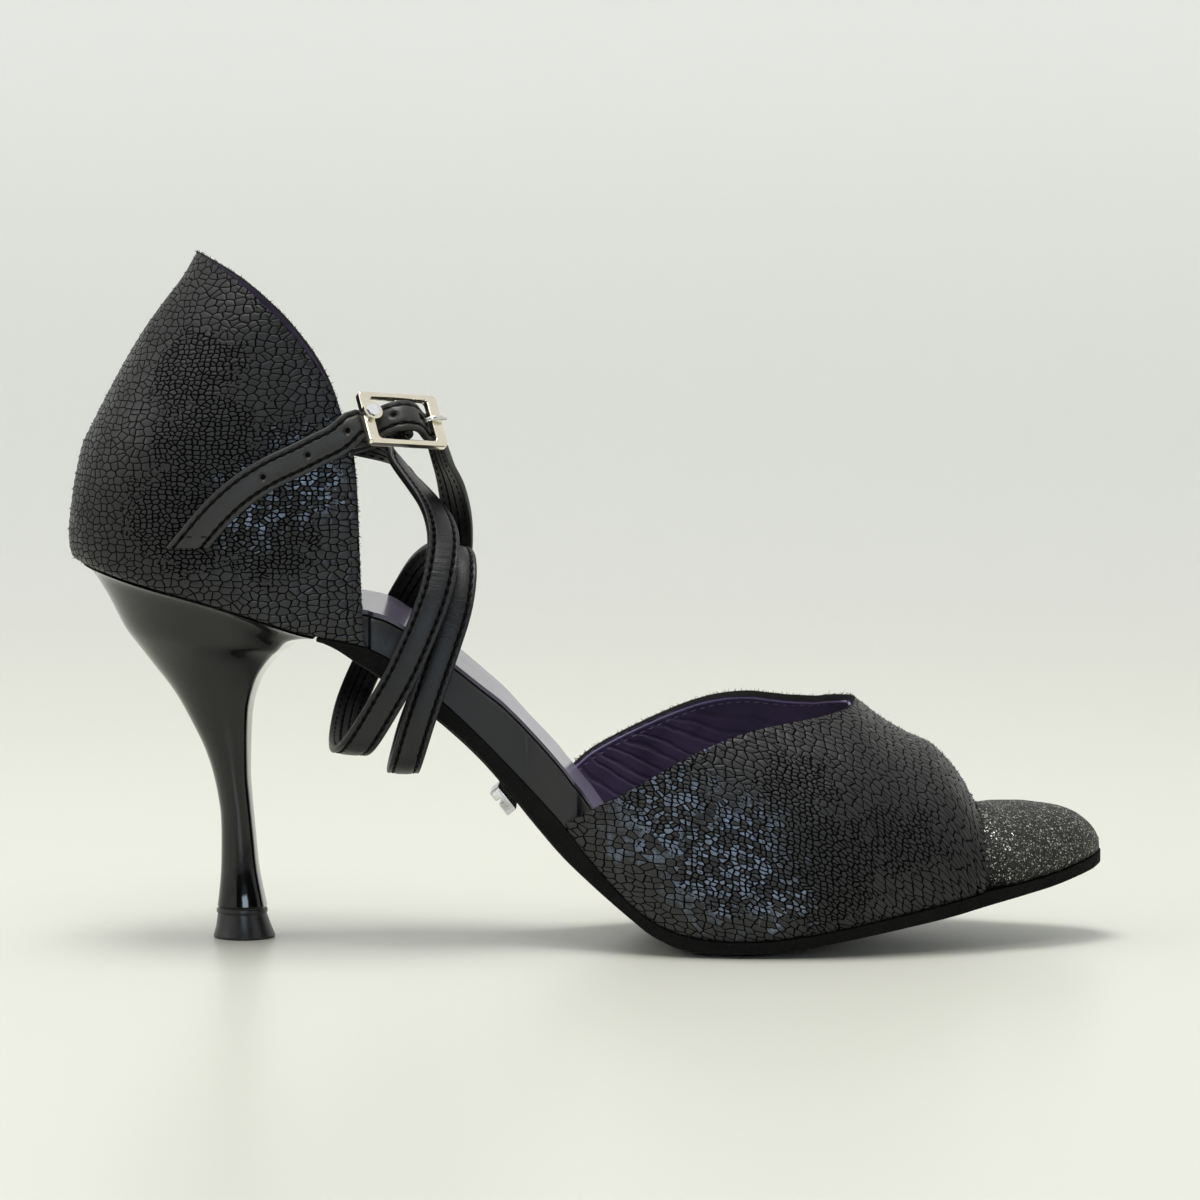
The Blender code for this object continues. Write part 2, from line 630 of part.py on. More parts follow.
# Building
for old in list(bpy.data.objects):
    bpy.data.objects.remove(old)
CUTTERS = bpy.data.collections.new("cutters")
bpy.context.scene.collection.children.link(CUTTERS)


def material(name, colour, roughness, metallic=0.0, coat=0.0):
    made = bpy.data.materials.new(name)
    made.use_nodes = True
    shader = made.node_tree.nodes["Principled BSDF"]
    shader.inputs["Base Color"].default_value = (*colour, 1.0)
    shader.inputs["Roughness"].default_value = roughness
    shader.inputs["Metallic"].default_value = metallic
    shader.inputs["Coat Weight"].default_value = coat
    return made


CUT = material("cutter", (0.5, 0.5, 0.5), 0.5)


def finish(name, build, look):
    """Turns a bmesh into a named object with its material."""
    bmesh.ops.remove_doubles(build, verts=build.verts, dist=1e-6)
    bmesh.ops.recalc_face_normals(build, faces=build.faces)
    mesh = bpy.data.meshes.new(name)
    build.to_mesh(mesh)
    build.free()
    made = bpy.data.objects.new(name, mesh)
    bpy.context.scene.collection.objects.link(made)
    made.data.materials.append(look)
    return made


def grid(build, rows, closed=False):
    """Quads between rows of points."""
    made = [[build.verts.new(Vector(p)) for p in row] for row in rows]
    for a, b in zip(made, made[1:]):
        count = len(a)
        for j in range(count if closed else count - 1):
            k = (j + 1) % count
            build.faces.new((a[j], a[k], b[k], b[j]))
    return made


def ladder(build, ring):
    """Closes a ring with rungs between its two halves."""
    half = len(ring) // 2
    for j in range(half - 1):
        corners = (ring[j], ring[j + 1], ring[-2 - j], ring[-1 - j])
        build.faces.new(corners)


def loft(name, rings, look):
    """A closed solid through rings of points."""
    build = bmesh.new()
    made = grid(build, rings, closed=True)
    ladder(build, made[0])
    ladder(build, made[-1])
    return finish(name, build, look)


def sheet(name, sides, wall, look):
    """Two open sides that meet in the middle, made one sheet and given a wall inwards."""
    build = bmesh.new()
    outer, inner = sides
    grid(build, outer)
    grid(build, [list(reversed(row)) for row in inner])
    made = finish(name, build, look)
    middle = sum((v.co for v in made.data.vertices), Vector()) / len(made.data.vertices)
    if sum((f.center - middle).dot(f.normal) * f.area for f in made.data.polygons) < 0:
        made.data.flip_normals()
    thick = made.modifiers.new("wall", "SOLIDIFY")
    thick.thickness = wall
    thick.offset = -1
    thick.use_even_offset = True
    return made


def boolean(target, cutter, operation):
    cutter.hide_render = True
    cutter.display_type = "WIRE"
    for home in list(cutter.users_collection):
        home.objects.unlink(cutter)
    CUTTERS.objects.link(cutter)
    made = target.modifiers.new(operation.lower(), "BOOLEAN")
    made.operation = operation
    made.solver = "EXACT"
    made.object = cutter


def block(name, size, place, look=CUT):
    """A box; without a look it is a cutter."""
    build = bmesh.new()
    bmesh.ops.create_cube(build, size=1.0)
    bmesh.ops.scale(build, vec=size, verts=build.verts)
    bmesh.ops.transform(build, matrix=place, verts=build.verts)
    return finish(name, build, look)


def rod(name, radius, length, place, sides=ROUND_SIDES, look=CUT, far_radius=None):
    build = bmesh.new()
    far = far_radius or radius
    bmesh.ops.create_cone(build, cap_ends=True, segments=sides, radius1=radius, radius2=far, depth=length)
    bmesh.ops.transform(build, matrix=place, verts=build.verts)
    return finish(name, build, look)


SUEDE = material("cracked foil suede", (0.018, 0.018, 0.02), 0.55)
GLITTER = material("dark glitter fabric", (0.05, 0.052, 0.055), 0.6)
NAPPA = material("dark grey nappa", (0.03, 0.03, 0.033), 0.45)
PURPLE = material("aubergine lining leather", (0.09, 0.07, 0.13), 0.5)
BOARD = material("charcoal board wrap", (0.045, 0.045, 0.05), 0.5)
SOLE = material("black sole suede", (0.015, 0.015, 0.016), 0.9)
GLOSS = material("gloss black heel", (0.008, 0.008, 0.009), 0.12, coat=0.5)
RUBBER = material("heel tip rubber", (0.03, 0.03, 0.03), 0.6)
GOLD = material("pale gold metal", (0.83, 0.78, 0.66), 0.2, metallic=1.0)
SILVER = material("bright steel", (0.7, 0.7, 0.7), 0.25, metallic=1.0)
STONE = material("clear stone", (0.85, 0.87, 0.9), 0.05)


# Sole pieces
def plate(name, stations, top, bottom, across, look):
    """A flat-lying piece: top and bottom give a point for a station and a place across from -1 to 1."""
    rings = []
    for x in stations:
        rings.append([top(x, u) for u in across] + [bottom(x, u) for u in reversed(across)])
    return loft(name, rings, look)


def between(outer, inner, u):
    return outer + (inner - outer) * (u + 1) / 2


def sole_edge(x, side):
    reach = SOLE_REACH * rounding(TIP_X + SOLE_REACH - x, TOE_ROUND, TOE_POWER)
    return plan_edge(x - SOLE_REACH, side) + side * reach


def outsole_top(x, u):
    return (x, between(sole_edge(x, OUTER), sole_edge(x, INNER), u), feather(x))


def sole_under(x, u):
    """Height of the outsole's underside: crowned across, flat on the floor under the ball."""
    crown = line_crown(share_of(x)) * HEEL_HEIGHT
    return max(sole_low(x) - crown * (1 - u ** 4), 0.0)


def outsole_bottom(x, u):
    return (x, between(sole_edge(x, OUTER), sole_edge(x, INNER), u), sole_under(x, u))


sole_stations = (
    spread(BREAST_X + BREAST_GAP, SHANK_END, 9)
    + spread(SHANK_END, BALL_BEND, 12)[1:]
    + spread(BALL_BEND, THROAT_X, 7)[1:]
    + spread(THROAT_X, TIP_X + SOLE_REACH - TIP_FLAT, 13, ease_end=True)[1:]
)
plate("outsole", sole_stations, outsole_top, outsole_bottom, SOLE_ACROSS, SOLE)


def board_inset(x, side, more=0.0):
    """The board and sock stand inside the uppers, and come out to the sole's edge at the open waist."""
    rear = COUNTER_FRONT_OUTER if side == OUTER else COUNTER_FRONT_INNER
    front = VAMP_REAR_OUTER if side == OUTER else VAMP_REAR_INNER
    in_rear = 1 - smooth((x - rear - STEP_CLEAR) / STEP_RUN)
    in_front = smooth((x - front + VAMP_STEP_CLEAR + STEP_RUN) / STEP_RUN)
    in_cap = smooth((x - CAP_INSET_FROM) / CAP_INSET_RUN)
    steps = (in_rear * BOARD_REAR_INSET, in_front * VAMP_INSET, in_cap * CAP_BOARD_INSET, WAIST_INSET)
    return more + max(steps)


def board_edge(x, side, more=0.0):
    return plan_edge(x, side, board_inset(x, side, more))


def board_top_height(x, u):
    rise = line_rise(share_of(x)) * HEEL_HEIGHT
    return feather(x) + GAP + line_board(share_of(x)) * HEEL_HEIGHT + rise * (u + 1) / 2


def board_top(x, u):
    soften = BOARD_EDGE_ROUND if abs(u) == 1 else 0.0
    return (x, between(board_edge(x, OUTER), board_edge(x, INNER), u), board_top_height(x, u) - soften)


def board_bottom(x, u):
    return (x, between(board_edge(x, OUTER), board_edge(x, INNER), u), feather(x) + GAP)


def step_stations(start):
    """Stations at the start, middle and end of a step in the board's edge."""
    return [start, start + STEP_RUN / 2, start + STEP_RUN]


board_stations = (
    spread(BACK_X + BOARD_REAR_INSET + TIP_FLAT, COUNTER_FRONT_INNER, 12, ease_start=True)
    + step_stations(COUNTER_FRONT_INNER + STEP_CLEAR)
    + step_stations(COUNTER_FRONT_OUTER + STEP_CLEAR)
    + spread(COUNTER_FRONT_OUTER, VAMP_REAR_INNER, 9)[1:-1]
    + step_stations(VAMP_REAR_INNER - VAMP_STEP_CLEAR - STEP_RUN)
    + step_stations(VAMP_REAR_OUTER - VAMP_STEP_CLEAR - STEP_RUN)
    + spread(VAMP_REAR_OUTER, BALL_BEND, 9)
    + spread(BALL_BEND, CAP_INSET_FROM, 7)[1:]
    + spread(CAP_INSET_FROM, BOARD_TIP, 9)[1:]
)
plate("insole_board", board_stations, board_top, board_bottom, BOARD_ACROSS, BOARD)


def sock_bottom(x, u):
    y = between(board_edge(x, OUTER, SOCK_INSET), board_edge(x, INNER, SOCK_INSET), u)
    return (x, y, board_top_height(x, u) + SOCK_GAP)


def sock_top(x, u):
    x, y, z = sock_bottom(x, u)
    return (x, y, z + SOCK_THICKNESS)


sock_stations = [x for x in board_stations if x < SOCK_TIP]
plate("sock_lining", sock_stations, sock_top, sock_bottom, SOCK_ACROSS, PURPLE)


# Upper: vamp. Up to the throat it is two side panels, in front of it one arch.
def vamp_point(x, side, column, reach):
    y, z = resample(vamp_arch(x, side), SIDE_COLUMNS, reach)[column]
    return (x, y, z)


def vamp_side(side, rear, top_line):
    """Rows of the vamp on one side, from its rear corner to its front edge."""
    rows = []
    for i in range(VAMP_ROWS):
        t = i / (VAMP_ROWS - 1)
        t = (1 - THROAT_EASE) * t + THROAT_EASE * math.sin(math.pi / 2 * t)
        x = rear + (THROAT_X - rear) * t
        last = i == VAMP_ROWS - 1
        reach = 1.0 if last else clip_at(vamp_arch(x, side), top_line(share_of(x)) * HEEL_HEIGHT)
        rows.append([vamp_point(x, side, j, reach) for j in range(SIDE_COLUMNS)])
    for i in range(1, FRONT_ROWS + 1):
        row = []
        for j in range(SIDE_COLUMNS):
            up = j / (SIDE_COLUMNS - 1)
            end = VAMP_FRONT + VAMP_FRONT_BOW * (1 - up * up)
            row.append(vamp_point(THROAT_X + (end - THROAT_X) * i / FRONT_ROWS, side, j, 1.0))
        rows.append(row)
    return rows


vamp_sides = [vamp_side(OUTER, VAMP_REAR_OUTER, top_outer), vamp_side(INNER, VAMP_REAR_INNER, top_inner)]
sheet("vamp", vamp_sides, UPPER_WALL, SUEDE)

# Upper: toe cap
cap_sides = []
for side in (OUTER, INNER):
    rows = []
    for i in range(CAP_ROWS):
        t = i / (CAP_ROWS - 1)
        t = (1 - TIP_EASE) * t + TIP_EASE * math.sin(math.pi / 2 * t)
        x = CAP_REAR + (TIP_X - CAP_REAR) * t
        rows.append([(x, y, z) for y, z in resample(cap_arch(x, side), CAP_COLUMNS)])
    cap_sides.append(rows)
sheet("toe_cap", cap_sides, CAP_WALL, GLITTER)

# Upper: counter
counter_sides = []
for side in (OUTER, INNER):
    rows = []
    for i in range(COUNTER_ROWS):
        up = i / (COUNTER_ROWS - 1)
        line = [counter_point(up, (k / SEAM_STEPS) ** 2, side) for k in range(SEAM_STEPS + 1)]
        rows.append([tuple(p) for p in resample(line, HALF_COLUMNS)])
    counter_sides.append(rows)
sheet("counter", counter_sides, COUNTER_WALL, SUEDE)

# Heel
heel_columns = {c: spline(HEEL, c, "down") for c in HeelRow._fields[1:]}


def last_half(x):
    return (plan_edge(x, INNER) - plan_edge(x, OUTER)) / 2


def last_skew(x):
    return (plan_edge(x, INNER) + plan_edge(x, OUTER)) / 2


HEEL_TOP_HALF = max(last_half(x) for x in spread(BACK_X, BREAST_X, 40))


def heel_ring(down):
    """One slice of the heel, from the seat, where it takes the last's outline, to the tip."""
    row = HeelRow(down, *[heel_columns[name](down) for name in HeelRow._fields[1:]])
    back = Vector((at_share(row.back_x), 0, row.back_z * HEEL_HEIGHT))
    front = Vector((at_share(row.breast_x), 0, row.breast_z * HEEL_HEIGHT))
    wide, corner, scoop = row.wide * HALF_BALL, row.corner * HALF_BALL, row.scoop * HALF_BALL
    seat = row.seat

    def half(along):
        own = wide * rounding(along, 0.5, 2.0)
        if along > 0.5:
            own = wide + (corner - wide) * (2 * along - 1) ** 2
        last = last_half(BACK_X + (BREAST_X - BACK_X) * along)
        return own * (1 - seat) + last * seat * wide / HEEL_TOP_HALF

    def placed(along, side_share, hollow=0.0):
        p = back + (front - back) * along + (back - front).normalized() * hollow
        bow = (feather(p.x) - GAP - p.z) * seat
        return (p.x, last_skew(p.x) * seat + side_share * half(along), p.z + bow)

    fine = [(k / 40) ** 2 for k in range(41)]
    stations = resample([(a, half(a) / (front - back).length) for a in fine], HEEL_SIDE)
    flanks = []
    for side in (OUTER, INNER):
        flank = [placed(along, side) for along, _ in stations]
        for k in range(1, HEEL_BREAST + 1):
            t = k / (HEEL_BREAST + 1)
            flank.append(placed(1.0, side * (1 - t), scoop * math.sin(t * math.pi / 2)))
        flanks.append(flank)
    return flanks[0] + list(reversed(flanks[1]))[:-1]


rings = [heel_ring(i / (HEEL_ROWS - 1)) for i in range(HEEL_ROWS)]
build = bmesh.new()
made = grid(build, rings, closed=True)
for ring in (made[0], made[-1]):
    count = len(ring)
    for j in range((count - 1) // 2):
        a, b = ring[j], ring[j + 1]
        c, d = ring[(count - j - 1) % count], ring[(count - j) % count]
        corners = [v for k, v in enumerate((a, b, c, d)) if v not in (a, b, c, d)[:k]]
        if len(corners) > 2:
            build.faces.new(corners)
finish("heel", build, GLOSS)

# Heel tip
tip_rings = []
for row in HEEL_TIP:
    back, front = at_share(row.back_x), at_share(row.front_x)
    centre, half_long = (back + front) / 2, (front - back) / 2
    half_wide = row.half_width * HALF_BALL
    turns = [2 * math.pi * (k + 0.5) / TIP_SIDES for k in range(TIP_SIDES)]
    oval = [(centre - half_long * math.cos(a), half_wide * math.sin(a)) for a in turns]
    tip_rings.append([(x, y, row.z * HEEL_HEIGHT) for x, y in oval])
build = bmesh.new()
made = grid(build, tip_rings, closed=True)
ladder(build, made[0])
ladder(build, made[-1])
finish("heel_tip", build, RUBBER)


# Straps
def smooth_path(rows, count):
    """An even run of rows through a list of rows, bent smoothly at each."""
    rows = np.array(rows, float)
    padded = np.vstack([2 * rows[0] - rows[1], rows, 2 * rows[-1] - rows[-2]])
    dense = []
    for i in range(1, len(padded) - 2):
        a, b, c, d = padded[i - 1 : i + 3]
        for k in range(12):
            t = k / 12
            square, cube = 2 * a - 5 * b + 4 * c - d, 3 * b - 3 * c + d - a
            dense.append(0.5 * (2 * b + (c - a) * t + square * t * t + cube * t ** 3))
    dense.append(rows[-1])
    dense = np.array(dense)
    for _ in range(3):
        dense[1:-1] = (dense[:-2] + 2 * dense[1:-1] + dense[2:]) / 4
    run = np.concatenate([[0], np.cumsum(np.linalg.norm(np.diff(dense[:, :3], axis=0), axis=1))])
    want = np.linspace(0, run[-1], count)
    return np.stack([np.interp(want, run, dense[:, k]) for k in range(dense.shape[1])], axis=1)


def ribbon_rings(path, width, thickness, slant=0.0):
    """Rings of a flat strap whose right side looks along each row's out direction."""
    rings = []
    for i, row in enumerate(path):
        here = Vector(row[:3])
        ahead = Vector(path[min(i + 1, len(path) - 1)][:3]) - Vector(path[max(i - 1, 0)][:3])
        ahead.normalize()
        out = Vector(row[3:6])
        out = (out - ahead * out.dot(ahead)).normalized()
        across = ahead.cross(out)
        ring = []
        for u, v in STRAP_SECTION:
            shift = slant * u if i == len(path) - 1 else 0.0
            ring.append(here + across * (u * width / 2) + out * (v * thickness / 2) + ahead * shift)
        rings.append(ring)
    return rings


LONG_AXIS = Vector(BUCKLE_LONG_AXIS).normalized()
FACE_AXIS = Vector(BUCKLE_DOWN_AXIS).cross(LONG_AXIS).normalized()
if FACE_AXIS.y > 0:
    FACE_AXIS = -FACE_AXIS
DOWN_AXIS = LONG_AXIS.cross(FACE_AXIS).normalized()
if DOWN_AXIS.z > 0:
    DOWN_AXIS = -DOWN_AXIS
CENTRE = Vector(BUCKLE_CENTRE)


def on_buckle(along, down, proud):
    return CENTRE + LONG_AXIS * along + DOWN_AXIS * down + FACE_AXIS * proud


def buckle_place(along, down, proud):
    """A placing matrix: local x along the buckle, y down it, z out of its face."""
    place = Matrix((LONG_AXIS, DOWN_AXIS, LONG_AXIS.cross(DOWN_AXIS))).transposed().to_4x4()
    place.translation = on_buckle(along, down, proud)
    return place


def on_quarter(x, z):
    """The point of the quarter's outer side at x and z."""
    low, high = 0.0, 1.0
    for _ in range(HALVINGS):
        up = (low + high) / 2
        back, front = counter_value("back_x", up), counter_value("front_x", up)
        y, reached = counter_point(up, (x - back) / (front - back), OUTER)[1:]
        low, high = (up, high) if reached < z else (low, up)
    return Vector((x, y, z))


def beside_quarter(x, z, away):
    """A place away from the quarter's outer side, with the way out of it."""
    along = on_quarter(x + PROBE, z) - on_quarter(x - PROBE, z)
    upward = on_quarter(x, z + PROBE) - on_quarter(x, z - PROBE)
    out = along.cross(upward).normalized()
    if out.y > 0:
        out = -out
    return (*(on_quarter(x, z) + out * away), *out)


def on_face(along, proud):
    """A place on the buckle's middle line, facing the way the buckle faces."""
    return (*on_buckle(along * BUCKLE_LONG, 0, proud * BUCKLE_THICK), *FACE_AXIS)


# Long strap: from inside the inner quarter, over the instep, through the waist and back up to the buckle
long_path = [(at_share(f.x), f.y * HALF_BALL, f.z * HEEL_HEIGHT, f.out_x, f.out_y, f.out_z) for f in STRAP]
long_path += [on_face(p.along, p.proud) for p in THROUGH]
long_path += [beside_quarter(at_share(e.x), e.z * HEEL_HEIGHT, STRAP_THICKNESS / 2 + TAIL_OFF) for e in TAIL]
long_rings = ribbon_rings(smooth_path(long_path, LONG_ROWS), STRAP_WIDTH, STRAP_THICKNESS, TAIL_SLANT)
long_strap = loft("long_strap", long_rings, NAPPA)
hole = block("prong_hole", (HOLE_LONG, HOLE_WIDE, OPENING_DEEP), buckle_place(HOLE_ALONG * BUCKLE_LONG, 0, 0))
boolean(long_strap, hole, "DIFFERENCE")

# Short strap: from inside the outer quarter, under the buckle and round its bar
inside = -(COUNTER_WALL + SHORT_STRAP_THICKNESS / 2 + INNER_OFF)
short_path = [beside_quarter(at_share(e.x), e.z * HEEL_HEIGHT, inside) for e in SHORT_STRAP_IN]
short_path += [on_face(p.along, p.proud) for p in SHORT_STRAP_PASS]
wrap = BAR_RADIUS + GAP + SHORT_STRAP_THICKNESS / 2
for k in range(WRAP_COUNT):
    turn = math.radians(WRAP_START + WRAP_STEP * k)
    here = on_buckle(BAR_SHIFT + wrap * math.cos(turn), 0, wrap * math.sin(turn) - BAR_DROP)
    short_path.append((*here, *-(LONG_AXIS * math.cos(turn) + FACE_AXIS * math.sin(turn))))
short_rings = ribbon_rings(smooth_path(short_path, SHORT_ROWS), SHORT_STRAP_WIDTH, SHORT_STRAP_THICKNESS)
short_strap = loft("buckle_strap", short_rings, NAPPA)
slot_place = buckle_place(BAR_SHIFT + SLOT_FORWARD, 0, -BAR_DROP)
slot = block("prong_slot", (SLOT_LONG, SLOT_WIDE, OPENING_DEEP), slot_place)
boolean(short_strap, slot, "DIFFERENCE")

# Buckle frame
frame = block("buckle_frame", (BUCKLE_LONG, BUCKLE_SHORT, BUCKLE_THICK), buckle_place(0, 0, 0), GOLD)
window_size = (BUCKLE_LONG - 2 * BUCKLE_SIDE_BAR, BUCKLE_SHORT - 2 * BUCKLE_RAIL, 3 * BUCKLE_THICK)
boolean(frame, block("buckle_window", window_size, buckle_place(0, 0, 0)), "DIFFERENCE")
rounded = frame.modifiers.new("edges", "BEVEL")
rounded.width = BUCKLE_EDGE
rounded.segments = 2
rounded.limit_method = "ANGLE"
rounded.angle_limit = math.radians(50)
across_buckle = Matrix.Rotation(math.radians(90), 4, "X")
bar_place = buckle_place(BAR_SHIFT, 0, -BAR_DROP) @ across_buckle
bar = rod("buckle_bar", BAR_RADIUS, BUCKLE_SHORT - BUCKLE_RAIL, bar_place, ROUND_SIDES // 2)
boolean(frame, bar, "UNION")
stone_along = STONE_RADIUS + CUP_WALL + CUP_EDGE - BUCKLE_LONG / 2
face = BUCKLE_THICK / 2
cup_place = buckle_place(stone_along, STONE_DOWN, face)
cup = rod("stone_cup", STONE_RADIUS + GAP + CUP_WALL, 2 * CUP_HEIGHT, cup_place)
boolean(frame, cup, "UNION")
well_place = buckle_place(stone_along, STONE_DOWN, face + CUP_HEIGHT)
boolean(frame, rod("stone_well", STONE_RADIUS + GAP, 2 * (CUP_HEIGHT + CUP_BED), well_place), "DIFFERENCE")

# Stone
stone_place = buckle_place(stone_along, STONE_DOWN, face + STONE_HEIGHT / 2 + STONE_REST)
rod("crystal", STONE_RADIUS, STONE_HEIGHT, stone_place, ROUND_SIDES, STONE, STONE_RADIUS * STONE_TABLE)

# Prong
prong_path = []
eye = BAR_RADIUS + GAP + PRONG_RADIUS
for k in range(12):
    turn = math.radians(EYE_START - EYE_STEP * k)
    prong_path.append(tuple(on_buckle(BAR_SHIFT + eye * math.cos(turn), 0, eye * math.sin(turn) - BAR_DROP)))
prong_path += [on_face(p.along, p.proud)[:3] for p in PRONG_PASS]
prong_rings = []
path = smooth_path(prong_path, PRONG_ROWS)
for i, row in enumerate(path):
    ahead = (Vector(path[min(i + 1, len(path) - 1)]) - Vector(path[max(i - 1, 0)])).normalized()
    out = DOWN_AXIS.cross(ahead).normalized()
    turns = [math.radians(60 * (k + 0.5)) for k in range(6)]
    ring = [(DOWN_AXIS * math.cos(a) + out * math.sin(a)) * PRONG_RADIUS for a in turns]
    prong_rings.append([Vector(row) + v for v in ring])
loft("buckle_prong", prong_rings, SILVER)

# Badge plate, left bare
plate_outer, plate_inner = plan_edge(PLATE_X, OUTER), plan_edge(PLATE_X, INNER)
under = sole_under(PLATE_X, (PLATE_Y - plate_outer) / (plate_inner - plate_outer) * 2 - 1)
half_plate = PLATE_LENGTH / 2
slope = math.atan2(sole_low(PLATE_X + half_plate) - sole_low(PLATE_X - half_plate), PLATE_LENGTH)
down = Vector((math.sin(slope), 0, -math.cos(slope)))
seat = Vector((PLATE_X, PLATE_Y, under)) + down * (PLATE_THICK / 2 + PLATE_OFF)
lie = Matrix.Translation(seat) @ Matrix.Rotation(-slope, 4, "Y")
badge = block("badge_plate", (PLATE_LENGTH, PLATE_WIDTH, PLATE_THICK), lie, SILVER)
groove_at = lie @ Matrix.Translation(Vector((PLATE_GROOVE_SHIFT, 0, -PLATE_THICK / 2)))
boolean(badge, block("badge_groove", (PLATE_GROOVE, 2 * PLATE_WIDTH, PLATE_THICK), groove_at), "DIFFERENCE")
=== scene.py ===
# %% [markdown]
# # A ballroom dance shoe
# The shoe stands on its heel tip and on the ball of its sole, seen from its outer side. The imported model
# is loaded first: it gives each piece's place, and every finished piece below stands for one of its nodes.
# Lengths are in metres, with the toe to +X, the inner side of the foot to +Y and up to +Z.

# %% Load the frame
import math
import random
from bisect import bisect_left
from collections import namedtuple
from functools import lru_cache

import bmesh
import bpy
import numpy as np
from mathutils import Matrix, Vector


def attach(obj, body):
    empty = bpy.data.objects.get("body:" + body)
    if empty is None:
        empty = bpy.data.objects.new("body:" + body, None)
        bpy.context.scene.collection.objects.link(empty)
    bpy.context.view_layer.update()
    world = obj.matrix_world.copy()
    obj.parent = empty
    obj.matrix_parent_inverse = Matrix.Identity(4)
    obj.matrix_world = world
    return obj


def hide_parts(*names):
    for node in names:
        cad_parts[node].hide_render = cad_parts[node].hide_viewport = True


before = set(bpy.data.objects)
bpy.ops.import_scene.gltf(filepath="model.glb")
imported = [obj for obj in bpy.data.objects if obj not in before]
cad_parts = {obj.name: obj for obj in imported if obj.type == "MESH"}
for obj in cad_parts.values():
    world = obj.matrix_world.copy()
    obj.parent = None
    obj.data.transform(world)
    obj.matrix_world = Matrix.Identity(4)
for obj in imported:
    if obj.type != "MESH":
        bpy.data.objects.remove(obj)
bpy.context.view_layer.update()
print("packed nodes:", sorted(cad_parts))

# %% [markdown]
# A shoe is built over a last, and every curved piece takes its form from it. So the first cells describe
# the last: its main sizes, then tables of its plan, its bottom and the arch of the upper. In the tables
# x is a share of the length from heel to toe, widths are shares of half the ball's width, and heights are
# shares of the heel's height.

# %% Main sizes
LENGTH = 0.2325
BALL_WIDTH = 0.076
HALF_BALL = BALL_WIDTH / 2
HEEL_HEIGHT = 0.085
UPPER_WALL = 0.0017
COUNTER_WALL = 0.0019
CAP_WALL = 0.0015
SOCK_THICKNESS = 0.0010
STRAP_WIDTH = 0.0072
STRAP_THICKNESS = 0.0016
SHORT_STRAP_WIDTH = 0.0068
SHORT_STRAP_THICKNESS = 0.0010
GAP = 0.0003
SOCK_GAP = 0.0005
BREAST_GAP = 0.0004
SOLE_REACH = 0.0003
TAIL_OFF = 0.0008
INNER_OFF = 0.0009
HEEL_ROUND = 0.030
HEEL_POWER = 2.2
TOE_ROUND = 0.026
TOE_POWER = 2.0
BACK_X = -0.4860 * LENGTH
TIP_X = 0.5002 * LENGTH
BREAST_X = -0.2563 * LENGTH
TIP_FLAT = 0.00012
OUTER, INNER = -1, 1
print("length", LENGTH, "heel", HEEL_HEIGHT)

# %% Tables of the last
Plan = namedtuple("Plan", "x mid outer inner")
PLAN = [Plan(*row) for row in (
    (0.014, 0, 0.6579, 0.6474), (0.0785, 0, 0.6579, 0.6474), (0.1215, 0, 0.6553, 0.6447),
    (0.1774, 0, 0.6526, 0.6158), (0.2419, 0, 0.5868, 0.5368), (0.3065, 0, 0.5158, 0.4474),
    (0.371, 0, 0.4763, 0.3842), (0.4355, 0, 0.5053, 0.3921), (0.4785, 0, 0.5842, 0.4526),
    (0.543, 0, 0.7632, 0.6184), (0.6075, 0, 0.8921, 0.7947), (0.6634, 0, 0.9316, 0.9),
    (0.7151, 0, 0.9184, 0.9289), (0.7667, 0.0053, 0.8526, 0.8947), (0.8226, 0.0211, 0.7474, 0.7895),
    (0.8785, 0.0395, 0.6316, 0.6553), (0.9301, 0.0684, 0.5368, 0.5263), (0.9645, 0.0842, 0.4947, 0.4789),
    (1.0002, 0.0947, 0.4605, 0.4421),
)]
Line = namedtuple("Line", "x low feather crown board rise")
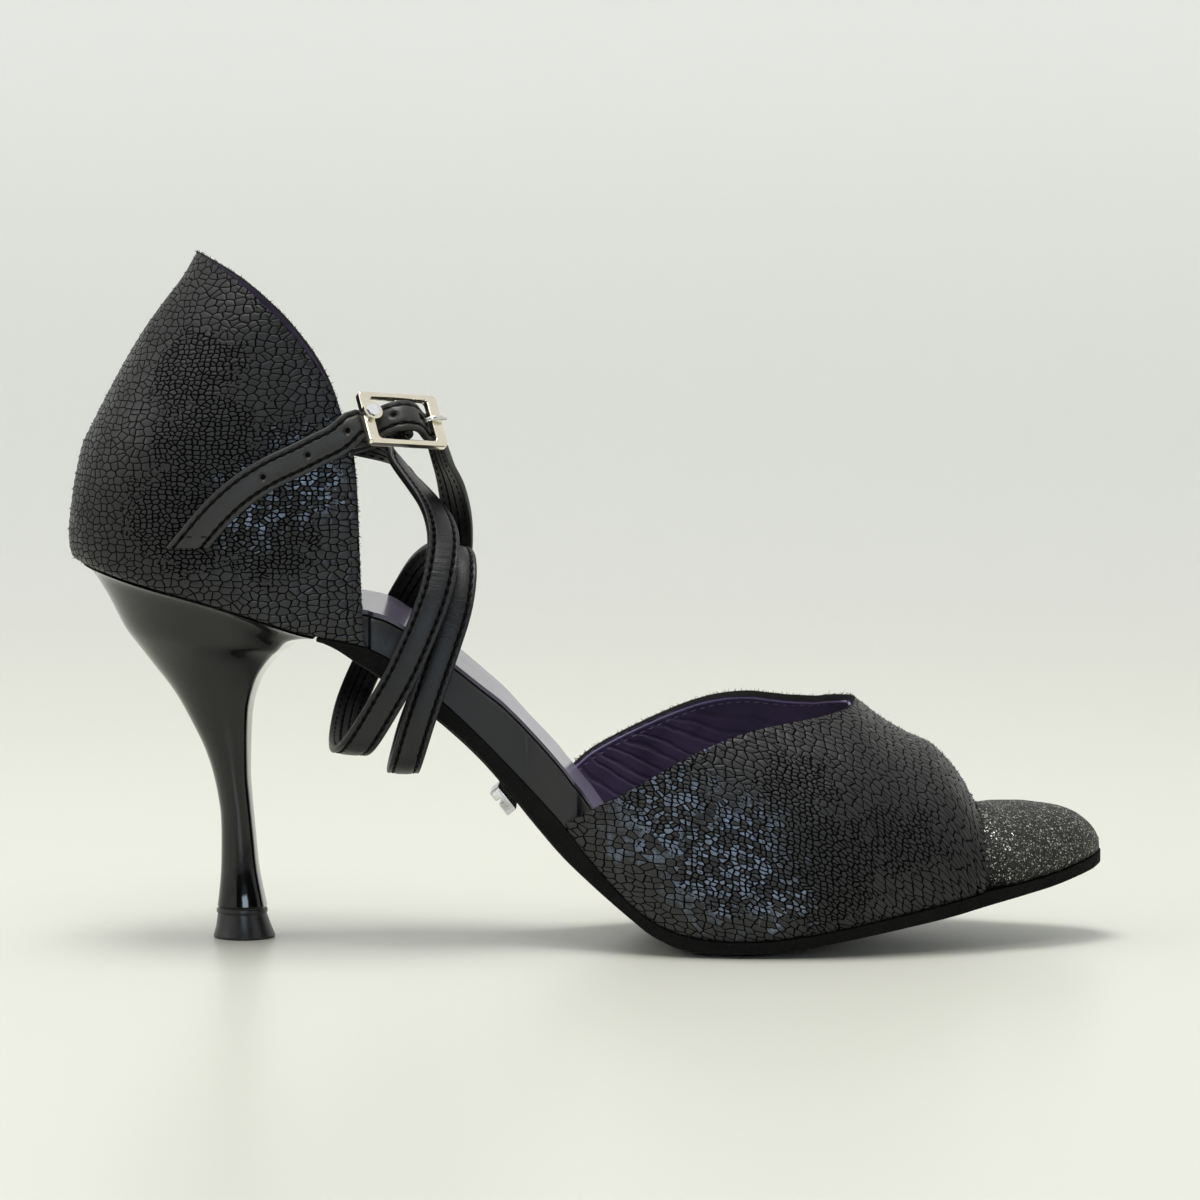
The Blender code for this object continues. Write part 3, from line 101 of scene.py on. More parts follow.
LINES = [Line(*row) for row in (
    (0.014, 0.9671, 1.0024, 0.0118, 0.0588, 0), (0.0759, 0.9165, 0.9518, 0.013, 0.0601, 0.0024),
    (0.1344, 0.8741, 0.9094, 0.0143, 0.0613, 0.0046), (0.1989, 0.8188, 0.8529, 0.0156, 0.0626, 0.0071),
    (0.2312, 0.7953, 0.8235, 0.0162, 0.0633, 0.0135), (0.2591, 0.7706, 0.8071, 0.0172, 0.0678, 0.019),
    (0.2849, 0.7482, 0.7918, 0.0182, 0.0741, 0.0242), (0.3065, 0.7118, 0.7671, 0.0191, 0.0859, 0.0241),
    (0.328, 0.6706, 0.7282, 0.02, 0.0941, 0.0212), (0.3667, 0.5882, 0.6376, 0.0216, 0.1047, 0.0159),
    (0.4011, 0.5012, 0.5482, 0.023, 0.12, 0.0104), (0.4247, 0.4271, 0.4824, 0.023, 0.1343, 0.003),
    (0.4484, 0.3459, 0.4153, 0.0217, 0.1365, -0.0044), (0.4785, 0.2506, 0.3271, 0.0201, 0.1338, -0.0047),
    (0.5017, 0.1906, 0.2471, 0.0188, 0.1318, -0.0022), (0.5215, 0.1435, 0.1859, 0.0181, 0.1129, 0),
    (0.5413, 0.0988, 0.1318, 0.0173, 0.0941, 0), (0.5641, 0.0518, 0.0859, 0.0165, 0.0774, 0),
    (0.5895, 0.0224, 0.0576, 0.0153, 0.0588, 0), (0.6118, 0.0118, 0.0459, 0.0129, 0.0534, 0),
    (0.6376, 0.0106, 0.0412, 0.0118, 0.0471, 0), (0.6634, 0.0129, 0.0424, 0.0141, 0.0471, 0),
    (0.7022, 0.0235, 0.0529, 0.0153, 0.0471, 0), (0.7409, 0.0412, 0.0706, 0.015, 0.0471, 0),
    (0.7925, 0.0659, 0.0976, 0.0145, 0.0452, 0), (0.8458, 0.0929, 0.1271, 0.014, 0.0422, 0),
    (0.8905, 0.1224, 0.1553, 0.0117, 0.0392, 0), (0.9245, 0.1424, 0.1729, 0.01, 0.0369, 0),
    (0.9482, 0.1565, 0.1859, 0.0087, 0.0352, 0), (0.9731, 0.1753, 0.2047, 0.0074, 0.0318, 0),
    (0.9925, 0.1918, 0.2224, 0.0064, 0.0306, 0), (1.0032, 0.2059, 0.2353, 0.0059, 0.0306, 0),
)]

# %% [markdown]
# The vamp arches over the forefoot. Its ridge is a line along the top of the foot, and its two toplines
# run from the waist up to the throat. The toe cap under it has a low ridge of its own.

# %% Tables of the forefoot
Ridge = namedtuple("Ridge", "x y z swell wide_at power")
VAMP_RIDGE = [Ridge(*row) for row in (
    (0.457, 0.0526, 0.9882, 0.0158, 0.0824, 2), (0.5215, 0.0632, 0.9294, 0.0474, 0.1059, 2),
    (0.6075, 0.0737, 0.8294, 0.0658, 0.1235, 2), (0.672, 0.0737, 0.7471, 0.0684, 0.1235, 2),
    (0.7237, 0.0684, 0.6812, 0.0684, 0.1176, 2.05), (0.7606, 0.0579, 0.6388, 0.0684, 0.1118, 2.05),
    (0.7796, 0.0526, 0.6, 0.0658, 0.1059, 2.1), (0.7959, 0.0526, 0.5694, 0.0632, 0.1, 2.1),
    (0.8157, 0.05, 0.54, 0.0605, 0.0941, 2.1), (0.8351, 0.05, 0.5165, 0.0553, 0.0882, 2.1),
    (0.8467, 0.05, 0.4871, 0.0526, 0.0824, 2.1), (0.8566, 0.0526, 0.4576, 0.05, 0.0765, 2.1),
    (0.8643, 0.0526, 0.4271, 0.0474, 0.0706, 2.1), (0.8703, 0.0526, 0.3988, 0.0447, 0.0647, 2.1),
    (0.8742, 0.0526, 0.3753, 0.0421, 0.0612, 2.1), (0.8828, 0.0553, 0.3588, 0.0421, 0.0588, 2.1),
    (0.9301, 0.0684, 0.3294, 0.0368, 0.0529, 2), (1.0002, 0.1053, 0.2824, 0.0237, 0.0353, 2),
)]
Edge = namedtuple("Edge", "x z")
VAMP_TOP_OUTER = [Edge(*row) for row in (
    (0.4819, 0.3353), (0.5026, 0.3694), (0.5262, 0.4035), (0.549, 0.4388), (0.5714, 0.4753),
    (0.5942, 0.5106), (0.6178, 0.5412), (0.6406, 0.5647), (0.6634, 0.5812), (0.6867, 0.5929),
    (0.7112, 0.6024), (0.7353, 0.6129), (0.7533, 0.6259), (0.7606, 0.6388),
)]
VAMP_TOP_INNER = [Edge(*row) for row in (
    (0.4656, 0.3812), (0.4832, 0.4306), (0.5026, 0.4765), (0.5172, 0.5), (0.5387, 0.5294),
    (0.5628, 0.56), (0.5869, 0.5882), (0.611, 0.6118), (0.6273, 0.6235), (0.6471, 0.6318),
    (0.6634, 0.6341), (0.6824, 0.6294), (0.7056, 0.6247), (0.7245, 0.6247), (0.7404, 0.6318),
    (0.7606, 0.6388),
)]
CAP_RIDGE = [Edge(*row) for row in (
    (0.8441, 0.3435), (0.8656, 0.3494), (0.8759, 0.3541), (0.8974, 0.3612), (0.9198, 0.3612),
    (0.9422, 0.3553), (0.9585, 0.3482), (0.9753, 0.3318), (0.986, 0.3118), (0.9946, 0.2871),
    (1.0002, 0.2588),
)]

# %% [markdown]
# Smooth curves through the tables keep the folds soft. This spline never overshoots its rows, so a
# flat stretch in a table stays flat in the leather.

# %% Curves
def spline(rows, column, key="x"):
    """A smooth line through one column of a table."""
    xs = np.array([getattr(r, key) for r in rows], float)
    ys = np.array([getattr(r, column) for r in rows], float)
    step = np.diff(xs)
    slope = np.diff(ys) / step
    tangent = np.zeros(len(xs))
    tangent[0], tangent[-1] = slope[0], slope[-1]
    for i in range(1, len(xs) - 1):
        if slope[i - 1] * slope[i] > 0:
            a = 2 * step[i] + step[i - 1]
            b = step[i] + 2 * step[i - 1]
            tangent[i] = (a + b) / (a / slope[i - 1] + b / slope[i])
    xs, ys, step, tangent = xs.tolist(), ys.tolist(), step.tolist(), tangent.tolist()

    def at(x):
        x = min(max(x, xs[0]), xs[-1])
        i = min(max(bisect_left(xs, x) - 1, 0), len(step) - 1)
        t = (x - xs[i]) / step[i]
        return (
            ys[i] * (1 + 2 * t) * (1 - t) ** 2
            + tangent[i] * step[i] * t * (1 - t) ** 2
            + ys[i + 1] * t * t * (3 - 2 * t)
            + tangent[i + 1] * step[i] * t * t * (t - 1)
        )

    return at


def splines(rows, columns):
    return [spline(rows, column) for column in columns.split()]


def smooth(t):
    """0 to 1 with soft ends."""
    t = min(max(t, 0.0), 1.0)
    return t * t * (3 - 2 * t)


def rounding(distance, depth, power):
    """How far a rounded end has opened, at a distance in from its tip."""
    share = min(max(distance / depth, 0.0), 1.0)
    return (1 - (1 - share) ** power) ** (1 / power)


def share_of(x):
    return x / LENGTH + 0.5


def at_share(share):
    return (share - 0.5) * LENGTH


def along_line(points):
    """A line of points as an array, and how far along it each point lies."""
    points = np.array(points, float)
    run = np.concatenate([[0], np.cumsum(np.linalg.norm(np.diff(points[:, :3], axis=0), axis=1))])
    return points, run


def line_at(points, run, length):
    """The point, or the points, at a length along a line."""
    return np.stack([np.interp(length, run, column) for column in points.T], axis=-1)


def resample(points, count):
    """Count points at even steps along a line of points."""
    points, run = along_line(points)
    return line_at(points, run, np.linspace(0, run[-1], count))


# %% The last in plan
plan_mid, plan_outer, plan_inner = splines(PLAN, "mid outer inner")
line_low, line_feather, line_crown, line_board, line_rise = splines(LINES, "low feather crown board rise")


def side_width(x, side):
    """Half width of the last's bottom on one side, before its ends are rounded."""
    return (plan_outer if side == OUTER else plan_inner)(share_of(x)) * HALF_BALL


def plan_edge(x, side, inset=0.0):
    """The y of the plan line on one side, moved in by the inset."""
    ends = rounding(x - BACK_X - inset, HEEL_ROUND, HEEL_POWER)
    ends *= rounding(TIP_X - inset - x, TOE_ROUND, TOE_POWER)
    return plan_mid(share_of(x)) * HALF_BALL + side * (side_width(x, side) - inset) * ends


def feather(x):
    return line_feather(share_of(x)) * HEEL_HEIGHT


def sole_low(x):
    return line_low(share_of(x)) * HEEL_HEIGHT


print("width at the ball", round(plan_edge(0.045, INNER) - plan_edge(0.045, OUTER), 4))

# %% The last's arch
CAP_REAR = 0.3505 * LENGTH
CAP_TUCK = 0.0028
CAP_COMES_OUT = 0.007
CAP_LEDGE = 0.0004
CAP_WIDE_AT = 0.25
TIP_EASE = 0.55
THROAT_X = 0.2606 * LENGTH
VAMP_FRONT = 0.3742 * LENGTH
VAMP_FRONT_BOW = 0.0014
THROAT_EASE = 0.92
VAMP_REAR_OUTER = -0.0181 * LENGTH
VAMP_REAR_INNER = -0.0344 * LENGTH
ARCH_STEPS = 36
ridge_y, ridge_z, arch_swell, arch_wide_at, arch_power = splines(VAMP_RIDGE, "y z swell wide_at power")
top_outer, top_inner, cap_ridge = [spline(rows, "z") for rows in (VAMP_TOP_OUTER, VAMP_TOP_INNER, CAP_RIDGE)]


def arch(x, side, foot, swell, wide_at, top_y, top_z, power):
    """The upper's outline at x on one side: out to its widest, then over to the ridge."""
    base = feather(x) + GAP
    wide = foot + side * swell
    points = []
    for i in range(ARCH_STEPS // 3):
        t = i / (ARCH_STEPS // 3)
        points.append((foot + side * swell * math.sin(t * math.pi / 2), base + wide_at * t))
    for i in range(ARCH_STEPS + 1):
        turn = math.pi / 2 * i / ARCH_STEPS
        reach = max(math.cos(turn), 0.0) ** (2 / power)
        height = math.sin(turn) ** (2 / power)
        points.append((top_y + (wide - top_y) * reach, base + wide_at + (top_z - base - wide_at) * height))
    return points


def vamp_arch(x, side):
    s = share_of(x)
    return arch(x, side, plan_edge(x, side), arch_swell(s) * HALF_BALL, arch_wide_at(s) * HEEL_HEIGHT,
                ridge_y(s) * HALF_BALL, ridge_z(s) * HEEL_HEIGHT, arch_power(s))


def cap_arch(x, side):
    """Under the vamp the cap is tucked inside it; in front it comes out to the sole's edge."""
    s = share_of(x)
    tucked = 1 - smooth((x - VAMP_FRONT - VAMP_FRONT_BOW - GAP) / CAP_COMES_OUT)
    ends = rounding(TIP_X - x, TOE_ROUND, TOE_POWER)
    swell = arch_swell(s) * HALF_BALL * ends
    foot = plan_edge(x, side) - side * (CAP_TUCK * tucked + CAP_LEDGE * (1 - tucked) * ends)
    top = cap_ridge(s) * HEEL_HEIGHT
    base = feather(x) + GAP
    wide_at = (top - base) * CAP_WIDE_AT
    return arch(x, side, foot, swell, wide_at, plan_mid(s) * HALF_BALL, top, 2.0)


print("the vamp's ridge at the throat", round(ridge_z(share_of(THROAT_X)) * HEEL_HEIGHT, 4))

# %% [markdown]
# A material's pattern is often a sum or product of several textures. Written as nodes that gets long, so
# this small class wraps a socket and turns Python's own +, -, * and abs into Math nodes.

# %% Shader maths
class Signal:
    """One output socket of a material."""

    def __init__(self, finish, socket):
        self.finish, self.socket = finish, socket

    def maths(self, operation, *values):
        return self.finish.node("ShaderNodeMath", {"operation": operation}, dict(enumerate(values)))

    def __add__(self, other):
        return self.maths("ADD", self, other)

    def __sub__(self, other):
        return self.maths("SUBTRACT", self, other)

    def __rsub__(self, other):
        return self.maths("SUBTRACT", other, self)

    def __mul__(self, other):
        return self.maths("MULTIPLY", self, other)

    def __abs__(self):
        return self.maths("ABSOLUTE", self)

    def sine(self):
        return self.maths("SINE", self)

    def largest(self, other):
        return self.maths("MAXIMUM", self, other)

    __radd__ = __add__
    __rmul__ = __mul__


class Finish:
    """A material that is built up node by node around one Principled shader."""

    def __init__(self, name, **constants):
        self.material = bpy.data.materials.new(name)
        self.material.use_nodes = True
        self.tree = self.material.node_tree
        self.shader = self.tree.nodes["Principled BSDF"]
        for socket, value in constants.items():
            self.shader.inputs[socket.replace("_", " ")].default_value = value

    def node(self, kind, settings, sockets, output=0):
        """Adds a node: its settings first, then a value or a link for each socket named."""
        made = self.tree.nodes.new(kind)
        for key, value in settings.items():
            setattr(made, key, value)
        for key, value in sockets.items():
            if isinstance(value, Signal):
                self.tree.links.new(value.socket, made.inputs[key])
            else:
                made.inputs[key].default_value = value
        return Signal(self, made.outputs[output])

    def surface(self):
        return self.node("ShaderNodeTexCoord", {}, {}, "UV")

    def space(self):
        return self.node("ShaderNodeTexCoord", {}, {}, "Object")

    def noise(self, at, scale, detail=2.0, rough=0.5, output=0):
        sockets = {"Vector": at, "Scale": scale, "Detail": detail, "Roughness": rough}
        return self.node("ShaderNodeTexNoise", {}, sockets, output)

    def vector(self, operation, first, second, output=0):
        sockets = {0: first, "Scale" if operation == "SCALE" else 1: second}
        return self.node("ShaderNodeVectorMath", {"operation": operation}, sockets, output)

    def part(self, place, axis):
        """One coordinate of a place."""
        return self.node("ShaderNodeSeparateXYZ", {}, {0: place}, axis)

    def channel(self, colour, which):
        return self.node("ShaderNodeSeparateColor", {}, {0: colour}, which)

    def stretched(self, at, scale):
        return self.node("ShaderNodeMapping", {}, {"Vector": at, "Scale": scale})

    def cells(self, at, scale, output, randomness=1.0, **settings):
        """Voronoi cells: the way to a centre or edge, or each cell's own colour or centre."""
        sockets = {"Vector": at, "Scale": scale, "Randomness": randomness}
        return self.node("ShaderNodeTexVoronoi", settings, sockets, output)

    def centred(self, colour):
        """A random colour as a vector whose mean is zero."""
        return self.vector("SUBTRACT", colour, (0.5, 0.5, 0.5))

    def slope(self, at, colour, centre):
        """How high a point lies in a cell that leans the way its colour says."""
        return self.vector("DOT_PRODUCT", self.centred(colour), self.vector("SUBTRACT", at, centre), "Value")

    def step(self, signal, low, high):
        """0 below low and 1 above high, softly."""
        sockets = {"Value": signal, "From Min": low, "From Max": high}
        return self.node("ShaderNodeMapRange", {"interpolation_type": "SMOOTHSTEP"}, sockets)

    def between(self, share, low, high):
        """From one number to another."""
        return self.node("ShaderNodeMix", {}, {0: share, 2: low, 3: high})

    def blend(self, share, first, second):
        """From one colour to another."""
        ends = [v if isinstance(v, Signal) else (*v, 1.0) for v in (first, second)]
        return self.node("ShaderNodeMix", {"data_type": "RGBA"}, {0: share, 6: ends[0], 7: ends[1]}, 2)

    def paint(self, **signals):
        for socket, signal in signals.items():
            self.tree.links.new(signal.socket, self.shader.inputs[socket.replace("_", " ")])

    def relief(self, height):
        """A height in metres becomes bumps."""
        sockets = {"Strength": 1.0, "Distance": 1.0, "Height": height}
        self.paint(Normal=self.node("ShaderNodeBump", {}, sockets))


print("shader maths ready")

# %% [markdown]
# The upper is suede under a thin foil that has cracked into scales about 2 mm across. The cracks show the
# suede, which is black and dull, and the scales are smoother and catch the light, each at its own tilt.
# Voronoi cells give the scales, and their tilt is a plane in each cell's own random direction. In the
# listed crumbled areas the scales are smaller and the cracks wider, and in the glossy areas
# bits of foil shine like metal.

# %% Scales of foil
Scales = namedtuple("Scales", "edge tilt chance")
Area = namedtuple("Area", "x y z reach")
SCALE_DISORDER = 0.72
RAGGED_BY = 0.03


def scales_of(suede, laid, pitch, lean):
    """Cells of one size: how far in from a crack, how high by tilt, and a chance for each."""
    cells = (laid, 1 / pitch)
    flat = {"randomness": SCALE_DISORDER, "voronoi_dimensions": "2D"}
    edge = suede.cells(*cells, "Distance", feature="DISTANCE_TO_EDGE", **flat)
    lot = suede.cells(*cells, "Color", **flat)
    rise = suede.slope(laid, lot, suede.cells(*cells, "Position", **flat))
    return Scales(edge * pitch, rise * lean, suede.channel(lot, 1))


def areas_mask(suede, areas, ragged, rim=0.5):
    """1 inside the listed areas, with a ragged rim."""
    inside = None
    for area in areas:
        away = suede.vector("DISTANCE", suede.space(), (area.x, area.y, area.z), "Value")
        near = 1 - suede.step(away + (ragged - 0.5) * RAGGED_BY, area.reach * (1 - rim), area.reach * (1 + rim))
        inside = near if inside is None else inside.largest(near)
    return inside


print("scales and areas ready")

# %% Cracked suede
SCALE_PITCH = 0.0018
CRUMB_PITCH = 0.0012


# In the shade areas, and near the crumbled ones, the scales are painted darker and made rougher: painted shade
# for the dark zones of the upper.
def cracked_suede(name, crumbled_areas, glossy_areas, painted_shade_areas):
    suede = Finish(name, IOR=1.5, Specular_IOR_Level=0.55)
    at = suede.stretched(suede.surface(), (0.82, 1.2, 1.0))
    drift = suede.vector("SCALE", suede.centred(suede.noise(at, 210, 2.0, output="Color")), 0.0014)
    laid = suede.vector("ADD", at, drift)
    ragged = suede.noise(suede.space(), 240, 4.0, 0.7)
    near_crumbled = areas_mask(suede, crumbled_areas, ragged)
    crumbled = suede.step(near_crumbled + (ragged - 0.5) * 0.6, 0.42, 0.58)
    glossy = areas_mask(suede, glossy_areas, ragged)
    # painted shade mask: near the crumbled areas and inside the listed shade areas
    dull_and_painted_shade = near_crumbled.largest(areas_mask(suede, painted_shade_areas, ragged, 0.6))
    large = scales_of(suede, laid, SCALE_PITCH, 0.10)
    small = scales_of(suede, laid, CRUMB_PITCH, 0.26)
    edge, tilt, chance = [suede.between(crumbled, a, b) for a, b in zip(large, small)]
    speck = suede.noise(at, 2600, 2.0)
    gone = crumbled * 0.00004 * (0.4 + chance) + (speck - 0.5) * (0.00012 + 0.00016 * crumbled)
    foil = suede.step(edge - gone, 0.00009, 0.00017)

    nap = suede.noise(at, 5200, 2.0, 0.7)
    crumple = suede.noise(at, 1500, 3.0, 0.6)
    bits = foil * glossy * suede.step(chance + (speck - 0.5) * 0.9, 0.42, 0.60)
    scales = suede.blend(chance, (0.0035, 0.0035, 0.0038), (0.008, 0.008, 0.0082))
    # painted shade: inside that mask the scales' colour is painted near black
    scales = suede.blend(dull_and_painted_shade * 0.8, scales, (0.0016, 0.0016, 0.0019))
    scales = suede.blend(bits, scales, (0.17, 0.21, 0.28))
    suede.paint(Base_Color=suede.blend(foil, (0.0014, 0.0014, 0.0016), scales))
    suede.paint(Metallic=suede.between(foil, 0.92, bits * 0.85))
    foil_rough = 0.26 + 0.10 * chance + 0.10 * crumple + 0.22 * dull_and_painted_shade - 0.26 * bits
    suede.paint(Roughness=suede.between(foil, 0.95, foil_rough))
    dome = suede.step(edge, 0.0, 0.0006) * 0.00007
    rough = nap * 0.00009 * (1 - foil) + crumple * 0.00004
    suede.relief(foil * 0.00009 + foil * tilt + dome + rough)
    return suede.material


VAMP_CRUMBLED = [Area(*row) for row in (
    (0.02, -0.026, 0.034, 0.012), (0.034, -0.035, 0.022, 0.013), (0.052, -0.036, 0.02, 0.013),
    (0.046, -0.031, 0.036, 0.009), (0.07, -0.032, 0.026, 0.008),
)]
VAMP_GLOSSY = [Area(*row) for row in (
    (0.019, -0.027, 0.031, 0.011), (0.031, -0.034, 0.022, 0.012), (0.041, -0.036, 0.014, 0.006),
)]
COUNTER_CRUMBLED = [Area(*row) for row in (
    (-0.086, -0.022, 0.128, 0.01), (-0.082, -0.023, 0.112, 0.012), (-0.088, -0.025, 0.096, 0.012),
    (-0.07, -0.025, 0.095, 0.012), (-0.064, -0.023, 0.106, 0.01),
)]
COUNTER_GLOSSY = [Area(*row) for row in (
    (-0.062, -0.022, 0.105, 0.008), (-0.073, -0.025, 0.098, 0.007),
)]
# Areas where the scales get painted shade, on the vamp and on the counter
VAMP_PAINTED_SHADE = [Area(*row) for row in (
    (0.045, -0.03, 0.04, 0.014), (0.062, -0.033, 0.03, 0.016), (0.078, -0.03, 0.022, 0.015),
    (0.055, -0.036, 0.014, 0.011),
)]
COUNTER_PAINTED_SHADE = [Area(*row) for row in (
    (-0.097, -0.02, 0.094, 0.016), (-0.085, -0.024, 0.1, 0.014), (-0.078, -0.022, 0.125, 0.014),
    (-0.07, -0.02, 0.115, 0.012), (-0.085, -0.013, 0.14, 0.012), (-0.103, -0.018, 0.096, 0.012),
)]
vamp_suede = cracked_suede("cracked foil suede, vamp", VAMP_CRUMBLED, VAMP_GLOSSY, VAMP_PAINTED_SHADE)
counter_suede = cracked_suede("cracked foil suede, counter", COUNTER_CRUMBLED, COUNTER_GLOSSY, COUNTER_PAINTED_SHADE)
print("cracked suede for vamp and counter")

# %% [markdown]
# The toe cap is a rough glitter fabric: coarse dark knots about 0.9 mm wide with gaps between them, and
# fine glitter on the knots. Each knot is a Voronoi cell that leans its own way, and a finer Voronoi gives
# the specks, of which the brightest fifth are metallic, so that they spark.

# %% Glitter fabric
KNOT_DISORDER = 0.9
glitter = Finish("dark glitter fabric", Specular_IOR_Level=0.4)
spot = glitter.space()
swirl = glitter.vector("SCALE", glitter.noise(spot, 700, 2.0, output="Color"), 0.0012)
curled = glitter.vector("ADD", spot, swirl)
knots = (curled, 1150.0)
knot_lot = glitter.cells(*knots, "Color", KNOT_DISORDER)
knot_edge = glitter.cells(*knots, "Distance", KNOT_DISORDER, feature="DISTANCE_TO_EDGE")
knot_tilt = glitter.slope(curled, knot_lot, glitter.cells(*knots, "Position", KNOT_DISORDER))
knot = glitter.step(knot_edge, 0.04, 0.20)
speck_lot = glitter.cells(curled, 3600.0, "Color")
bright = knot * glitter.step(glitter.channel(speck_lot, 0), 0.70, 0.84)
knot_tone = glitter.blend(knot, (0.001, 0.001, 0.001), (0.022, 0.0225, 0.020))
glitter.paint(Base_Color=glitter.blend(bright, knot_tone, (0.48, 0.485, 0.43)))
glitter.paint(Metallic=bright * 0.7, Roughness=0.55 - 0.25 * bright)
glitter.relief(knot_tilt * 0.7 + knot * 0.0003 + glitter.channel(speck_lot, 1) * 0.00007)
print("glitter fabric")

# %% [markdown]
# The straps are smooth nappa leather, dark grey, with a fine grain and small creases across the strap
# where it bends. The strap's own UV map runs along it and round it in metres, so creases, the puckered
# groove of the seams and the tail's round holes can be placed by their distance along the strap. The
# seam grooves and the holes are painted near black, painted shade in their hollows, and the tail is
# painted lighter, a painted highlight.

# %% Strap leather
STRAP_CREASES = [(0.063, 0.010), (0.071, 0.006), (0.098, 0.012), (0.118, 0.008), (0.165, 0.012), (0.232, 0.010)]
HOLE_RADIUS = 0.00062
TAIL_HOLES = (0.3990, 0.4108, 0.4212, 0.4321)
STITCH_IN = 0.00125
STITCH_PITCH = 0.0022
GROOVE = 0.00024
CROWN = 0.00022


def strap_leather(name, dark=1.0, creased=1.0, sewn_at=0.0):
    leather = Finish(name, Specular_IOR_Level=0.42)
    at = leather.surface()
    grain = leather.cells(at, 2300.0, "Distance")
    pores = leather.noise(at, 5000, 2.0)
    along, across = leather.part(at, 0), leather.part(at, 1)
    wrinkle = leather.noise(leather.stretched(at, (1.0, 0.16, 1.0)), 900, 3.0, 0.55)
    amount = leather.step(leather.noise(at, 45, 1.0), 0.45, 0.7) * 0.25
    for place, reach in STRAP_CREASES:
        amount = amount.largest(1 - leather.step(abs(along - place), reach * 0.3, reach))
    cloudy = leather.noise(leather.space(), 130, 2.0)
    tones = [tuple(dark * c for c in tone) for tone in ((0.005, 0.005, 0.0058), (0.011, 0.011, 0.0118))]
    base = leather.blend(cloudy, *tones)
    height = grain * 0.00003 + wrinkle * amount * 0.00035 * creased + pores * 0.00001
    groove_and_painted_shade = pores * 0.0
    if sewn_at:
        # painted highlight: from 0.38 m along, on the tail, the colour is painted lighter where the tail lies
        # in the light
        base = leather.blend(leather.step(along, 0.37, 0.39), base, (0.026, 0.0255, 0.024))
        off_seam = abs(abs(across) - sewn_at)
        beat = (along * (2 * math.pi / STITCH_PITCH)).sine()
        # painted shade: the seam grooves, and below them the tail's holes, are painted near black and lose
        # their reflection
        groove_and_painted_shade = 1 - leather.step(off_seam + beat * 0.00008, 0.00008, 0.00052)
        height = height - groove_and_painted_shade * 0.0003
        for hole in TAIL_HOLES:
            away = leather.vector("DISTANCE", at, (hole, 0.0, 0.0), "Value")
            punched_painted_dark = 1 - leather.step(away, HOLE_RADIUS * 0.8, HOLE_RADIUS * 1.15)
            groove_and_painted_shade = groove_and_painted_shade.largest(punched_painted_dark)
            height = height - (1 - leather.step(away, HOLE_RADIUS * 0.7, HOLE_RADIUS * 2)) * 0.0005
        # painted shade: grooves and holes painted near black
        base = leather.blend(groove_and_painted_shade * 0.95, base, (0.001, 0.001, 0.001))
    leather.paint(Base_Color=base, Roughness=0.34 + 0.16 * pores + 0.3 * groove_and_painted_shade, Metallic=0.9 * groove_and_painted_shade)
    leather.relief(height)
    return leather.material


print("strap leather")

# %% [markdown]
# Inside, the upper is lined with soft aubergine leather that has a lilac sheen. It wrinkles where the
# quarter bends, most of all low on the inner side of the vamp, where folds fan out towards the sole.
# Each main fold is given as a line across the side of the shoe with a width of its own.

# %% Lining leather
Crease = namedtuple("Crease", "x z turn wide deep")
VAMP_FOLDS = [Crease(*row) for row in (
    (0.002, 0.034, -40, 0.0008, 0.0003), (0.005, 0.036, -36, 0.0007, 0.0003),
    (0.008, 0.037, -33, 0.0009, 0.00035), (0.012, 0.038, -30, 0.0007, 0.0003),
    (0.015, 0.04, -27, 0.0009, 0.00035), (0.019, 0.041, -23, 0.0007, 0.0003),
    (0.024, 0.043, -19, 0.0009, 0.0003), (0.03, 0.045, -14, 0.001, 0.00025),
    (0.037, 0.047, -9, 0.0012, 0.0002),
)]


def lining_leather(name, low=(0.050, 0.032, 0.075), high=(0.105, 0.07, 0.15), folds=(), smooth_by=0.0, **gloss):
    lining = Finish(name, **gloss, Sheen_Weight=0.25, Sheen_Roughness=0.4, Sheen_Tint=(0.75, 0.68, 0.9, 1.0))
    at = lining.space()
    x, z = lining.part(at, 0), lining.part(at, 2)
    cloudy = lining.noise(at, 70, 3.0)
    wander = (lining.noise(at, 110, 2.0) - 0.5) * 0.004
    height = lining.noise(at, 900, 3.0, 0.6) * 0.00008
    for fold in folds:
        a = math.radians(fold.turn)
        away = (x - fold.x) * math.sin(a) - (z - fold.z) * math.cos(a) + wander
        height = height - (1 - lining.step(abs(away), 0.0, fold.wide)) * fold.deep
    grain = lining.cells(at, 1700.0, "Distance")
    lining.paint(Base_Color=lining.blend(lining.step(cloudy, 0.3, 0.7), low, high))
    lining.paint(Roughness=0.38 - smooth_by + 0.2 * cloudy)
    lining.relief(height + grain * 0.00003)
    return lining.material


aubergine = lining_leather("aubergine lining leather", folds=VAMP_FOLDS)
sock_leather = lining_leather("aubergine sock leather", (0.040, 0.032, 0.052), (0.075, 0.062, 0.094),
                              smooth_by=0.12, Coat_Weight=0.8, Coat_Roughness=0.18)
piping_leather = lining_leather("lilac piping leather", (0.10, 0.075, 0.16), (0.18, 0.135, 0.26))
print("lining leather")

# %% [markdown]
# The stiff insole board is wrapped in thin smooth leather, and the sole is split suede whose nap is
# brushed up. Both are plain, so small clouds in the colour and a fine relief are enough.

# %% Board wrap and sole suede
wrap = Finish("charcoal board wrap")
cloud = wrap.noise(wrap.space(), 140, 3.0)
wrap.paint(Base_Color=wrap.blend(cloud, (0.008, 0.008, 0.0092), (0.015, 0.015, 0.0166)))
wrap.paint(Roughness=0.36 + 0.14 * cloud)
wrap.relief(wrap.noise(wrap.space(), 2600, 3.0, 0.6) * 0.00004 + cloud * 0.0002)
board_wrap = wrap.material

